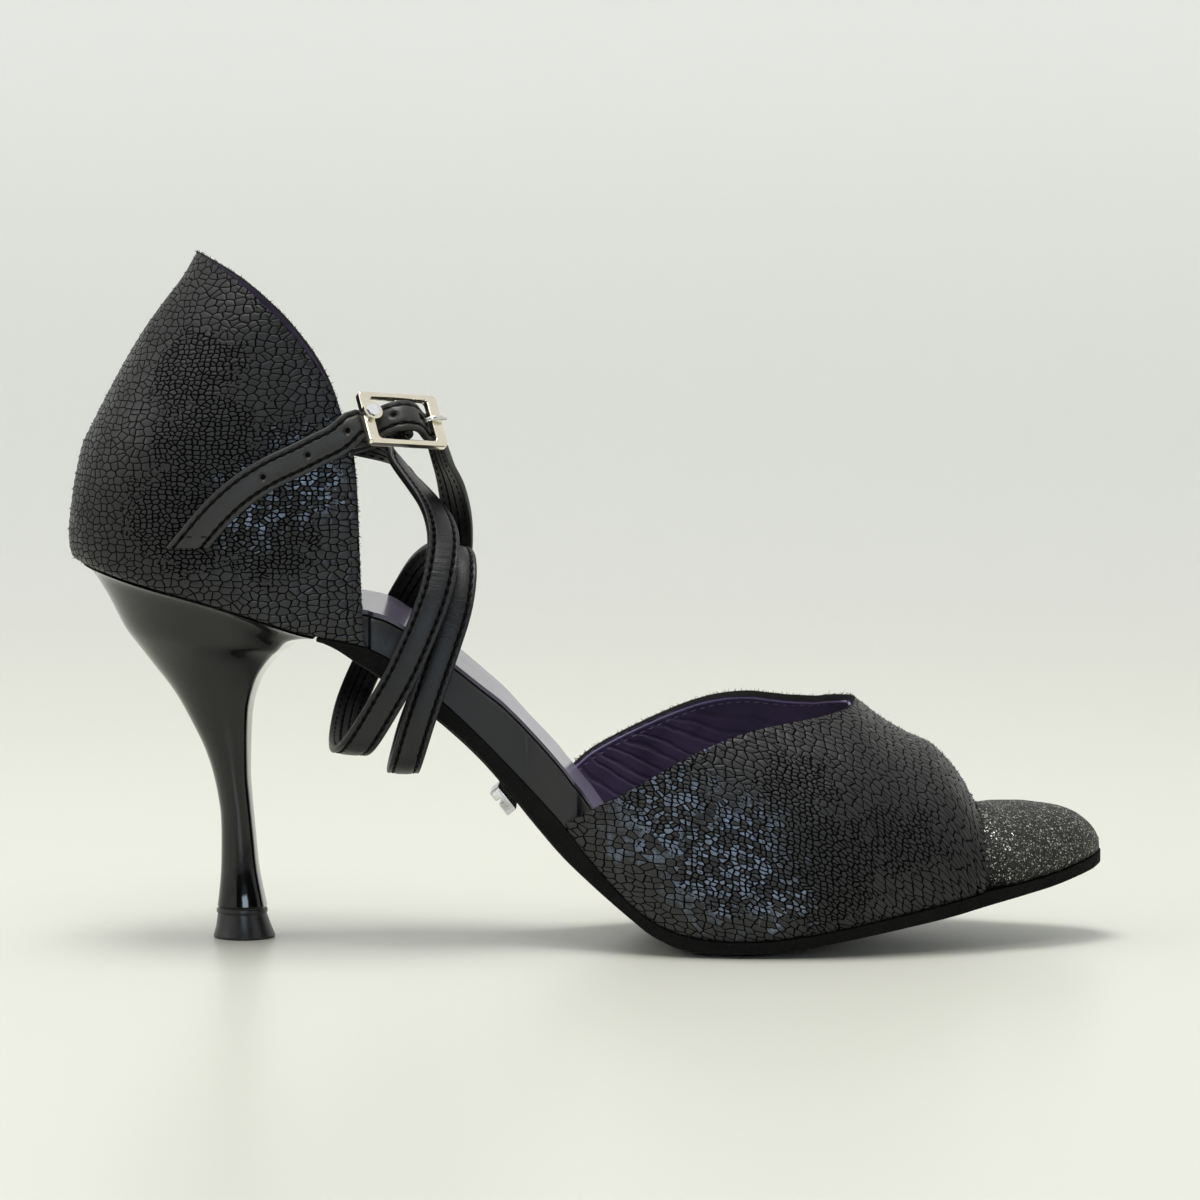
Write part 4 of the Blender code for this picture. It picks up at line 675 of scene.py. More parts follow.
nap = Finish("black sole suede", Specular_IOR_Level=0.12)
fibres = nap.noise(nap.space(), 2400, 3.0, 0.7)
brushed = nap.noise(nap.space(), 160, 3.0, 0.6)
nap.paint(Base_Color=nap.blend(brushed * fibres * 2.0, (0.002, 0.002, 0.002), (0.012, 0.0115, 0.011)))
nap.paint(Roughness=0.75 + 0.2 * fibres)
nap.relief(fibres * 0.00035 + brushed * 0.0003)
sole_suede = nap.material
print("board wrap and sole suede")

# %% [markdown]
# The heel is moulded and lacquered black: nearly no colour of its own and a deep gloss, with a trace of
# orange peel and a few hairline scuffs. Its breast was polished to a harder gloss. The tip is
# a duller plastic.

# %% Lacquered heel and its tip
lacquer = Finish("black heel lacquer", Coat_Roughness=0.05, Coat_IOR=1.75, IOR=1.5, Specular_IOR_Level=0.42)
peel = lacquer.noise(lacquer.space(), 260, 2.0)
scuff = lacquer.noise(lacquer.stretched(lacquer.space(), (1.0, 1.0, 0.12)), 900, 4.0, 0.7)
scuff = lacquer.step(scuff, 0.62, 0.75)
lacquer.paint(Base_Color=lacquer.blend(peel, (0.002, 0.002, 0.002), (0.004, 0.004, 0.004)))
round_heel = lacquer.part(lacquer.surface(), 0)
on_breast = lacquer.step(round_heel, 0.0384, 0.0390) * (1 - lacquer.step(round_heel, 0.0625, 0.0631))
lacquer.paint(Roughness=0.09 + 0.03 * peel + 0.12 * scuff, Coat_Weight=0.03 + 0.97 * on_breast)
lacquer.relief(peel * 0.00004)
heel_lacquer = lacquer.material

tip = Finish("heel tip plastic")
worn_rim = tip.noise(tip.space(), 900, 3.0, 0.6)
tip.paint(Base_Color=tip.blend(worn_rim, (0.006, 0.006, 0.0065), (0.015, 0.015, 0.016)))
tip.paint(Roughness=0.22 + 0.2 * worn_rim)
tip.relief(worn_rim * 0.00003)
tip_plastic = tip.material
print("heel finishes")

# %% [markdown]
# Metal has almost no colour but what it reflects, so its finish is mostly roughness: a clean polish on
# the pale gold buckle, softened by fine rubbing marks, and a brushed look on the small plate.

# %% Metals, stone and thread
def polished(name, colour, base_rough, marks):
    metal = Finish(name, Metallic=1.0)
    at = metal.space()
    rub = metal.noise(metal.stretched(at, (1.0, 1.0, 6.0)), 700, 3.0, 0.6)
    tarnish = metal.noise(at, 260, 2.0)
    darker = tuple(0.82 * c for c in colour)
    metal.paint(Base_Color=metal.blend(tarnish, darker, colour), Roughness=base_rough + marks * rub)
    metal.relief(rub * 0.000008 + tarnish * 0.00002)
    return metal.material


pale_gold = polished("pale gold", (0.98, 0.92, 0.76), 0.08, 0.10)
steel = polished("bright steel", (0.80, 0.79, 0.77), 0.14, 0.2)

stone = Finish("clear stone", Metallic=0.85, IOR=2.0)
fire = stone.noise(stone.space(), 900, 1.0)
stone.paint(Base_Color=stone.blend(fire, (0.75, 0.8, 0.86), (0.98, 0.98, 1.0)), Roughness=0.02 + 0.03 * fire)
clear_stone = stone.material


def thread(name, low, high, **constants):
    yarn = Finish(name, **constants)
    twist = yarn.noise(yarn.space(), 3500, 2.0)
    yarn.paint(Base_Color=yarn.blend(twist, low, high), Roughness=0.55 + 0.25 * twist)
    yarn.relief(twist * 0.00006)
    return yarn.material


black_thread = thread("black thread", (0.0015, 0.0015, 0.0015), (0.005, 0.005, 0.005), Specular_IOR_Level=0.15)
lilac_thread = thread("lilac thread", (0.12, 0.09, 0.17), (0.3, 0.25, 0.38))
fluff = thread("suede fibres", (0.003, 0.003, 0.003), (0.012, 0.0115, 0.011), Specular_IOR_Level=0.2)
print("metals, stone and threads")

# %% [markdown]
# Every sheet starts as a flat grid whose corners are then placed on the last, with a UV map in metres, so
# that patterns keep their true size. The helpers after it turn a finished bmesh into an object that rides
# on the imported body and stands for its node, and give it a wall, soft edges or openings.

# %% Laying a grid on the last
JOIN = 1e-6


def patch(build, place, columns, rows):
    """Bends a grid: place(u, v) gives a corner's point and its place in the UV map."""
    corners = bmesh.ops.create_grid(build, x_segments=columns, y_segments=rows, size=0.5)["verts"]
    uv = build.loops.layers.uv.verify()
    spots = {}
    for corner in corners:
        u, v = corner.co.x + 0.5, corner.co.y + 0.5
        point, spots[corner] = place(u, v)
        corner.co = point
        corner.tag = True
    for face in build.faces:
        if not face.tag and all(v.tag for v in face.verts):
            face.tag = True
            for loop in face.loops:
                loop[uv].uv = spots[loop.vert]
    for corner in corners:
        corner.tag = False


def close_sheet(build):
    """Joins a sheet's parts and turns its faces away from its middle."""
    bmesh.ops.remove_doubles(build, verts=build.verts, dist=JOIN)
    bmesh.ops.recalc_face_normals(build, faces=build.faces)
    middle = sum((v.co for v in build.verts), Vector()) / len(build.verts)
    if sum((f.calc_center_median() - middle).dot(f.normal) * f.calc_area() for f in build.faces) < 0:
        bmesh.ops.reverse_faces(build, faces=build.faces)


def close_solid(build, dist=JOIN):
    """Joins a solid's parts, fills its open ends and turns its faces outwards."""
    bmesh.ops.remove_doubles(build, verts=build.verts, dist=dist)
    bmesh.ops.holes_fill(build, edges=[e for e in build.edges if e.is_boundary], sides=0)
    bmesh.ops.recalc_face_normals(build, faces=build.faces)


def place_in_scene(name, build, looks=()):
    """A finished bmesh becomes an object of its own."""
    mesh = bpy.data.meshes.new(name)
    build.to_mesh(mesh)
    build.free()
    for look in looks:
        mesh.materials.append(look)
    made = bpy.data.objects.new(name, mesh)
    bpy.context.scene.collection.objects.link(made)
    return made


def show(name, build, looks, node=None, sharp=38):
    """A finished bmesh becomes a piece of the shoe."""
    made = place_in_scene(name, build, looks)
    made.data.shade_smooth()
    made.data.set_sharp_from_angle(angle=math.radians(sharp))
    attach(made, "root")
    if node:
        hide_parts(node)
    print(name, "-", len(made.data.polygons), "faces")
    return made


def show_sheet(name, place_of, columns, rows, looks, node):
    """A sheet made of two grids, one for each side of the shoe."""
    build = bmesh.new()
    for side in (OUTER, INNER):
        patch(build, place_of(side), columns, rows)
    close_sheet(build)
    return show(name, build, looks, node)


def show_solid(name, place, columns, rows, look, node, sharp=38):
    """A solid made of one grid that is rolled up and closed at its ends."""
    build = bmesh.new()
    patch(build, place, columns, rows)
    close_solid(build)
    return show(name, build, [look], node, sharp)


def axes_at(x_axis, y_axis, z_axis, at):
    """A placing matrix with these three axes."""
    place = Matrix((x_axis, y_axis, z_axis)).transposed().to_4x4()
    place.translation = at
    return place


def wall(made, thickness):
    """Gives a sheet its thickness inwards, with the lining inside and a rim of its own."""
    thick = made.modifiers.new("wall", "SOLIDIFY")
    thick.thickness = thickness
    thick.offset = -1
    thick.use_even_offset = True
    thick.material_offset = 1
    thick.material_offset_rim = 2


def soften(made, width, segments=2, angle=50):
    """Rounds a piece's sharp edges."""
    rounded = made.modifiers.new("edges", "BEVEL")
    rounded.width = width
    rounded.segments = segments
    rounded.limit_method = "ANGLE"
    rounded.angle_limit = math.radians(angle)
    rounded.harden_normals = False


def settle(made):
    """Applies a piece's modifiers, so that its mesh is the finished one."""
    graph = bpy.context.evaluated_depsgraph_get()
    mesh = bpy.data.meshes.new_from_object(made.evaluated_get(graph))
    made.modifiers.clear()
    made.data = mesh


print("helpers ready")

# %% [markdown]
# The vamp is one wrapped piece of leather. Behind the throat its sides end at the toplines, in front of it
# they meet over the foot. Each side is a grid between the feather line and the topline or ridge.

# %% The vamp's surface
VAMP_REAR_SHARE = 0.60
VAMP_COLUMNS, VAMP_ROWS = 110, 46
UPPER_EDGE = 0.0004
RIDGE_STEPS = [THROAT_X + (VAMP_FRONT + 0.004 - THROAT_X) * k / 80 for k in range(81)]
_, ridge_run = along_line([(x, ridge_z(share_of(x)) * HEEL_HEIGHT) for x in RIDGE_STEPS])


def ridge_along(x):
    """How far x is along the ridge, from the same zero as x itself."""
    return x if x < THROAT_X else THROAT_X + float(np.interp(x, RIDGE_STEPS, ridge_run))


@lru_cache(maxsize=None)
def arch_line(x, side):
    return along_line(vamp_arch(x, side))


def vamp_spot(x, side, up):
    """A point of the vamp's outside, up from its foot as a share of the whole arch at x."""
    points, run = arch_line(x, side)
    here = up * run[-1]
    y, z = line_at(points, run, here)
    girth = side * (run[-1] - here)
    return Vector((x, y, z)), (x + (ridge_along(x) - x) * up, girth)


@lru_cache(maxsize=None)
def topline_share(x, side):
    """The share of the arch at x that is left below the topline."""
    if x >= THROAT_X - 1e-6:
        return 1.0
    top = (top_outer if side == OUTER else top_inner)(share_of(x)) * HEEL_HEIGHT
    points, run = arch_line(x, side)
    return float(np.interp(top, points[:, 1], run) / run[-1])


def vamp_place(side):
    rear = VAMP_REAR_OUTER if side == OUTER else VAMP_REAR_INNER

    def place(u, v):
        if u <= VAMP_REAR_SHARE:
            t = u / VAMP_REAR_SHARE
            t = (1 - THROAT_EASE) * t + THROAT_EASE * math.sin(math.pi / 2 * t)
            x = round(rear + (THROAT_X - rear) * t, 7)
            return vamp_spot(x, side, v * topline_share(x, side))
        end = VAMP_FRONT + VAMP_FRONT_BOW * (1 - v * v)
        x = THROAT_X + (end - THROAT_X) * (u - VAMP_REAR_SHARE) / (1 - VAMP_REAR_SHARE)
        return vamp_spot(round(x, 7), side, v)

    return place


vamp = show_sheet("vamp_upper", vamp_place, VAMP_COLUMNS, VAMP_ROWS, [vamp_suede, aubergine, sole_suede],
                  "vamp")
wall(vamp, UPPER_WALL)
soften(vamp, UPPER_EDGE)

# %% [markdown]
# The toe cap closes the toe under the vamp. It is one low dome of glitter fabric, tucked 3 mm inside the
# vamp's front edge and fuller in front of it.

# %% Toe cap
CAP_COLUMNS, CAP_ROWS = 90, 30


@lru_cache(maxsize=None)
def cap_line(x, side):
    return along_line(cap_arch(x, side))


def cap_place(side):
    def place(u, v):
        t = (1 - TIP_EASE) * u + TIP_EASE * math.sin(math.pi / 2 * u)
        x = round(CAP_REAR + (TIP_X - CAP_REAR) * t, 7)
        points, run = cap_line(x, side)
        here = v * run[-1]
        y, z = line_at(points, run, here)
        return Vector((x, y, z)), (x, side * (run[-1] - here))

    return place


cap_looks = [glitter.material, aubergine, glitter.material]
toe_cap = show_sheet("toe_cap_glitter", cap_place, CAP_COLUMNS, CAP_ROWS, cap_looks, "toe_cap")
wall(toe_cap, CAP_WALL)

# %% [markdown]
# The back quarter, or counter, is one sheet round the heel, joined by a seam up the back. A table gives
# slices from the seat to the peak: where each starts at the back and ends in front, and how full it is.

# %% Table of the counter
Slice = namedtuple("Slice", "up back_x back_z front_x front_z swell front_swell")
COUNTER = [Slice(*row) for row in (
    (0, 0.014, 1.0059, 0.2914, 0.7976, 0, 0),
    (0.05, 0.0045, 1.0459, 0.2897, 0.8871, 0.0132, 0.0132),
    (0.12, 0.0015, 1.1012, 0.288, 0.9918, 0.0342, 0.0316),
    (0.2, 0.0045, 1.1671, 0.2862, 1.0953, 0.05, 0.0421),
    (0.28, 0.0088, 1.2341, 0.2849, 1.1859, 0.0526, 0.0447),
    (0.37, 0.0153, 1.3106, 0.2819, 1.2824, 0.0474, 0.0368),
    (0.44, 0.026, 1.3718, 0.2746, 1.36, 0.0316, 0.0263),
    (0.55, 0.0411, 1.4518, 0.2634, 1.4388, 0, 0.0053),
    (0.66, 0.0587, 1.54, 0.2462, 1.5212, -0.0368, -0.0263),
    (0.77, 0.0785, 1.6271, 0.2161, 1.6235, -0.0842, -0.0789),
    (0.85, 0.0957, 1.6918, 0.1912, 1.6894, -0.1263, -0.1105),
    (0.925, 0.1133, 1.7553, 0.1632, 1.7529, -0.1737, -0.1684),
    (1, 0.1258, 1.8153, 0.1288, 1.8141, -0.2263, -0.2263),
)]
COUNTER_FRONT_OUTER = -0.2090 * LENGTH
COUNTER_FRONT_INNER = -0.2280 * LENGTH
COUNTER_SEATED = 0.25
COUNTER_LEAN = 1.15
COUNTER_NARROWS = 0.6
COUNTER_NARROW_RUN = 1.2
counter_columns = {c: spline(COUNTER, c, "up") for c in Slice._fields[1:]}


def counter_value(name, up):
    value = counter_columns[name](up)
    if name in ("back_x", "front_x"):
        return at_share(value)
    return value * (HEEL_HEIGHT if name in ("back_z", "front_z") else HALF_BALL)


def counter_point(up, along, side):
    """A point of the quarter's outside: up the back seam, then forward from it to the front edge."""
    back_x, back_z = counter_value("back_x", up), counter_value("back_z", up)
    front_x, front_z = counter_value("front_x", up), counter_value("front_z", up)
    if side == INNER:
        front_x -= (COUNTER_FRONT_OUTER - COUNTER_FRONT_INNER) * smooth(COUNTER_LEAN * (1 - up))
    x = back_x + (front_x - back_x) * along
    z = back_z + (front_z - back_z) * along
    z += (feather(x) + GAP - z) * max(0.0, 1 - up / COUNTER_SEATED) ** 2
    swell = counter_value("swell", up)
    past = smooth((x - back_x - COUNTER_NARROWS * HEEL_ROUND) / (COUNTER_NARROW_RUN * HEEL_ROUND))
    swell += (counter_value("front_swell", up) - swell) * past
    opened = rounding(x - back_x, HEEL_ROUND, HEEL_POWER)
    return (x, side * (side_width(x, side) + swell) * opened, z)


# %% Counter
COUNTER_COLUMNS, COUNTER_ROWS = 76, 84
SEAM_STEPS = 80
BACK_SEAM_WIDE = 0.0009
BACK_SEAM_DEEP = 0.00025


@lru_cache(maxsize=None)
def counter_line(up, side):
    return along_line([counter_point(up, (k / SEAM_STEPS) ** 2, side) for k in range(SEAM_STEPS + 1)])


def counter_place(side):
    """Forward from the back seam on one side, and up from the seat to the peak."""

    def place(u, v):
        points, run = counter_line(round(v, 7), side)
        here = u * run[-1]
        point = Vector(line_at(points, run, here))
        point.x += BACK_SEAM_DEEP * math.exp(-((here / BACK_SEAM_WIDE) ** 2))
        return point, (side * (here + points[0][0] - BACK_X), point.z)

    return place


counter_looks = [counter_suede, aubergine, sole_suede]
counter = show_sheet("counter_quarter", counter_place, COUNTER_COLUMNS, COUNTER_ROWS, counter_looks,
                     "counter")
wall(counter, COUNTER_WALL)
soften(counter, UPPER_EDGE)

# %% [markdown]
# The outsole, the wrapped board and the sock lie on top of each other. Each is a closed tube laid flat: a
# grid rolled round the piece's cross-section, moved along the shoe and closed at both ends.

# %% Rolling a flat piece
def between(outer, inner, u):
    return outer + (inner - outer) * (u + 1) / 2


def across_steps(count):
    return [-math.cos(math.pi * k / count) for k in range(count + 1)]


def flat_piece(name, start, end, top, bottom, look, node, rows=300, across=14, ease=False):
    """A flat-lying piece: top and bottom give a point for x and a place across from -1 to 1."""
    ring = [(top, u) for u in across_steps(across)] + [(bottom, u) for u in reversed(across_steps(across))]
    ring.append(ring[0])

    def place(u, v):
        face, at = ring[round(v * (len(ring) - 1))]
        t = math.sin(math.pi / 2 * u) if ease else u
        x = start + (end - start) * t
        point = Vector(face(x, at))
        return point, (x, point.y)

    return show_solid(name, place, rows, len(ring) - 1, look, node)


print("flat pieces can be rolled")

# %% Outsole
def sole_edge(x, side):
    reach = SOLE_REACH * rounding(TIP_X + SOLE_REACH - x, TOE_ROUND, TOE_POWER)
    return plan_edge(x - SOLE_REACH, side) + side * reach


def outsole_top(x, u):
    return (x, between(sole_edge(x, OUTER), sole_edge(x, INNER), u), feather(x))


def sole_under(x, u):
    """Height of the outsole's underside: crowned across, flat on the floor under the ball."""
    crown = line_crown(share_of(x)) * HEEL_HEIGHT
    return max(sole_low(x) - crown * (1 - u ** 4), 0.0)


def outsole_bottom(x, u):
    return (x, between(sole_edge(x, OUTER), sole_edge(x, INNER), u), sole_under(x, u))


SOLE_SKIVE = 0.011
SKIVED_TO = 0.0007


def skived_bottom(x, u):
    """The sole is skived thin where it starts at the heel's breast."""
    x, y, z = outsole_bottom(x, u)
    full = smooth((x - BREAST_X) / SOLE_SKIVE)
    return (x, y, feather(x) - SKIVED_TO + (z - feather(x) + SKIVED_TO) * full)


sole_end = TIP_X + SOLE_REACH - TIP_FLAT
outsole = flat_piece("sole_suede_outsole", BREAST_X + BREAST_GAP, sole_end, outsole_top, skived_bottom,
                     sole_suede, "outsole", rows=170, across=18, ease=True)
soften(outsole, 0.00035)

# %% [markdown]
# The board stands inside the uppers and comes out to the sole's edge at the open waist, in a short step
# just in front of the counter and another one that is hidden inside the vamp.

# %% Insole board and sock
BOARD_REAR_INSET = 0.0026
VAMP_INSET = 0.0022
CAP_BOARD_INSET = 0.0052
CAP_INSET_FROM = 0.3054 * LENGTH
CAP_INSET_RUN = 0.009
BOARD_TIP = 0.4710 * LENGTH
BOARD_EDGE_ROUND = 0.0006
WAIST_INSET = 0.0001
SOCK_INSET = 0.0005
SOCK_TIP = 0.4473 * LENGTH
STEP_RUN = 0.0009
STEP_CLEAR = 0.0006
VAMP_STEP_CLEAR = 0.0010
STEP_HIDDEN = 0.004


def board_inset(x, side, more):
    """The board and sock stand inside the uppers, and come out to the sole's edge at the open waist."""
    rear = COUNTER_FRONT_OUTER if side == OUTER else COUNTER_FRONT_INNER
    front = VAMP_REAR_OUTER if side == OUTER else VAMP_REAR_INNER
    in_rear = 1 - smooth((x - rear - STEP_CLEAR) / STEP_RUN)
    in_front = smooth((x - front + VAMP_STEP_CLEAR + STEP_RUN - STEP_HIDDEN) / STEP_RUN)
    in_cap = smooth((x - CAP_INSET_FROM) / CAP_INSET_RUN)
    steps = (in_rear * BOARD_REAR_INSET, in_front * VAMP_INSET, in_cap * CAP_BOARD_INSET, WAIST_INSET)
    return more + max(steps)


def board_edge(x, side, more=0.0):
    return plan_edge(x, side, board_inset(x, side, more))


def board_top_height(x, u):
    rise = line_rise(share_of(x)) * HEEL_HEIGHT
    return feather(x) + GAP + line_board(share_of(x)) * HEEL_HEIGHT + rise * (u + 1) / 2


def board_top(x, u):
    rounded = BOARD_EDGE_ROUND if abs(u) == 1 else 0.0
    return (x, between(board_edge(x, OUTER), board_edge(x, INNER), u), board_top_height(x, u) - rounded)


def board_bottom(x, u):
    return (x, between(board_edge(x, OUTER), board_edge(x, INNER), u), feather(x) + GAP)


def sock_bottom(x, u):
    y = between(board_edge(x, OUTER, SOCK_INSET), board_edge(x, INNER, SOCK_INSET), u)
    return (x, y, board_top_height(x, u) + SOCK_GAP)


def sock_top(x, u):
    x, y, z = sock_bottom(x, u)
    return (x, y, z + SOCK_THICKNESS)


BOARD_START = BACK_X + BOARD_REAR_INSET + TIP_FLAT
board = flat_piece("wrapped_insole_board", BOARD_START, BOARD_TIP, board_top, board_bottom, board_wrap,
                   "insole_board")
soften(board, 0.00045)
sock = flat_piece("aubergine_sock", BOARD_START, SOCK_TIP, sock_top, sock_bottom, sock_leather,
                  "sock_lining")
soften(sock, 0.0003)

# %% [markdown]
# The heel is moulded in one piece. Its top takes the outline of the last's seat, its breast leans out a
# little to its middle with eased corners, and it narrows to the tip. The table gives slices from seat to tip.

# %% Heel
HeelRow = namedtuple("HeelRow", "down back_x back_z breast_x breast_z wide corner seat")
HEEL = [HeelRow(*row) for row in (
    (0, 0.014, 0.9988, 0.2437, 0.7965, 0.65, 0.5526, 1),
    (0.09, 0.0359, 0.9, 0.2265, 0.7812, 0.5579, 0.4605, 0.35),
    (0.18, 0.0578, 0.8153, 0.2114, 0.7647, 0.4526, 0.3632, 0),
    (0.27, 0.0802, 0.7353, 0.1989, 0.7365, 0.35, 0.2789, 0),
    (0.36, 0.1022, 0.6553, 0.186, 0.6847, 0.2632, 0.2079, 0),
    (0.45, 0.1194, 0.5706, 0.1778, 0.6, 0.2, 0.1579, 0),
    (0.52, 0.1314, 0.5012, 0.1761, 0.5106, 0.1658, 0.1289, 0),
    (0.58, 0.1387, 0.44, 0.1757, 0.44, 0.1421, 0.1079, 0),
    (0.64, 0.1434, 0.3788, 0.177, 0.3788, 0.1289, 0.0947, 0),
    (0.7, 0.146, 0.3247, 0.1787, 0.3247, 0.1211, 0.0895, 0),
    (0.76, 0.1465, 0.2718, 0.1804, 0.2718, 0.1184, 0.0868, 0),
    (0.85, 0.146, 0.1894, 0.1834, 0.1894, 0.1237, 0.0921, 0),
    (0.93, 0.1439, 0.12, 0.1882, 0.12, 0.1368, 0.1026, 0),
    (1, 0.1422, 0.0824, 0.1912, 0.0824, 0.15, 0.1132, 0),
)]
HEEL_SIDE = 40
HEEL_BREAST = 12
HEEL_SLICES = 90
BREAST_LEAN = 0.15
heel_columns = {c: spline(HEEL, c, "down") for c in HeelRow._fields[1:]}


def last_half(x):
    return (plan_edge(x, INNER) - plan_edge(x, OUTER)) / 2


def last_skew(x):
    return (plan_edge(x, INNER) + plan_edge(x, OUTER)) / 2


HEEL_TOP_HALF = max(last_half(BACK_X + (BREAST_X - BACK_X) * (k / 39)) for k in range(40))


def heel_ring(down):
    """One slice of the heel, from the seat, where it takes the last's outline, to the tip."""
    row = HeelRow(down, *[heel_columns[name](down) for name in HeelRow._fields[1:]])
    back = Vector((at_share(row.back_x), 0, row.back_z * HEEL_HEIGHT))
    front = Vector((at_share(row.breast_x), 0, row.breast_z * HEEL_HEIGHT))
    wide, corner = row.wide * HALF_BALL, row.corner * HALF_BALL
    pulled = BREAST_LEAN * corner * smooth(down / 0.12)
    seat = row.seat

    def half(along):
        own = wide * rounding(along, 0.5, 2.0)
        if along > 0.5:
            own = wide + (corner - wide) * (2 * along - 1) ** 2
        last = last_half(BACK_X + (BREAST_X - BACK_X) * along)
        return own * (1 - seat) + last * seat * wide / HEEL_TOP_HALF

    def placed(along, side_share, drawn_back):
        p = back + (front - back) * along + (back - front).normalized() * drawn_back
        bow = (feather(p.x) - GAP - p.z) * seat
        return (p.x, last_skew(p.x) * seat + side_share * half(along), p.z + bow)

    fine = [(k / 40) ** 2 for k in range(41)]
    stations = resample([(a, half(a) / (front - back).length) for a in fine], HEEL_SIDE)
    flanks = []
    for side in (OUTER, INNER):
        flank = [placed(along, side, pulled * along ** 3) for along, _ in stations]
        for k in range(1, HEEL_BREAST + 1):
            t = k / (HEEL_BREAST + 1)
            flank.append(placed(1.0, side * (1 - t), pulled * (1 - t) ** 1.15))
        flanks.append(flank)
    return flanks[0] + list(reversed(flanks[1]))[:-1]


def eased_corner(flank, corner, reach):
    """Rounds the corner of one flank, where it turns into the breast."""
    points, run = along_line(flank)
    reach = min(reach, run[corner] * 0.45, (run[-1] - run[corner]) * 0.95)

    before, after = [Vector(line_at(points, run, run[corner] + by)) for by in (-reach, reach)]
    tip_of_it = Vector(flank[corner])
    eased = []
    for point, length in zip(flank, run):
        t = (length - run[corner] + reach) / (2 * reach)
        if 0 < t < 1:
            point = before * (1 - t) ** 2 + tip_of_it * 2 * t * (1 - t) + after * t * t
        eased.append(Vector(point))
    return eased


@lru_cache(maxsize=None)
def heel_slice(down):
    """The slice with its breast's corners eased, a little less at the seat."""
    count = HEEL_SIDE + HEEL_BREAST
    ring = [Vector(p) for p in heel_ring(down)]
    outer, inner = ring[:count], [ring[0]] + ring[count:][::-1]
    reach = 0.0004 + 0.0005 * smooth(down / 0.10)
    bridge = outer[-1].lerp(inner[-1], 0.5)
    flanks = [eased_corner(flank + [bridge], HEEL_SIDE - 1, reach)[:-1] for flank in (outer, inner)]
    return flanks[0] + flanks[1][:0:-1]


def heel_place(u, v):
    ring = heel_slice(round(v, 7))
    point = ring[round(u * len(ring)) % len(ring)]
    return Vector(point), (u * 0.1, point[2])


heel = show_solid("lacquered_heel", heel_place, len(heel_slice(0.0)), HEEL_SLICES, heel_lacquer,
                  "heel", sharp=45)
soften(heel, 0.0004, 3)

# %% Heel tip
TipRow = namedtuple("TipRow", "z back_x front_x half_width")
HEEL_TIP = [TipRow(*row) for row in (
    (0.0788, 0.1417, 0.1908, 0.15), (0.0694, 0.1413, 0.1912, 0.1526), (0.0659, 0.1426, 0.1899, 0.1447),
    (0.0306, 0.1409, 0.1946, 0.1605), (0.0059, 0.1383, 0.1985, 0.1789), (0, 0.1391, 0.1976, 0.1737),
)]
TIP_TURNS = 72


def tip_place(u, v):
    row = HEEL_TIP[round(v * (len(HEEL_TIP) - 1))]
    back, front = at_share(row.back_x), at_share(row.front_x)
    turn = 2 * math.pi * u
    x = (back + front) / 2 - (front - back) / 2 * math.cos(turn)
    y = row.half_width * HALF_BALL * math.sin(turn)
    return Vector((x, y, row.z * HEEL_HEIGHT)), (u * 0.04, row.z * 0.1)


heel_tip = show_solid("heel_top_piece", tip_place, TIP_TURNS, len(HEEL_TIP) - 1, tip_plastic,
                      "heel_tip", sharp=25)
soften(heel_tip, 0.00015, 2, 20)

# %% [markdown]
# The long strap starts inside the inner quarter, crosses the instep, goes twice round the arch of the shoe
# and comes back up through the buckle. The table gives its middle line and the way its right side looks.

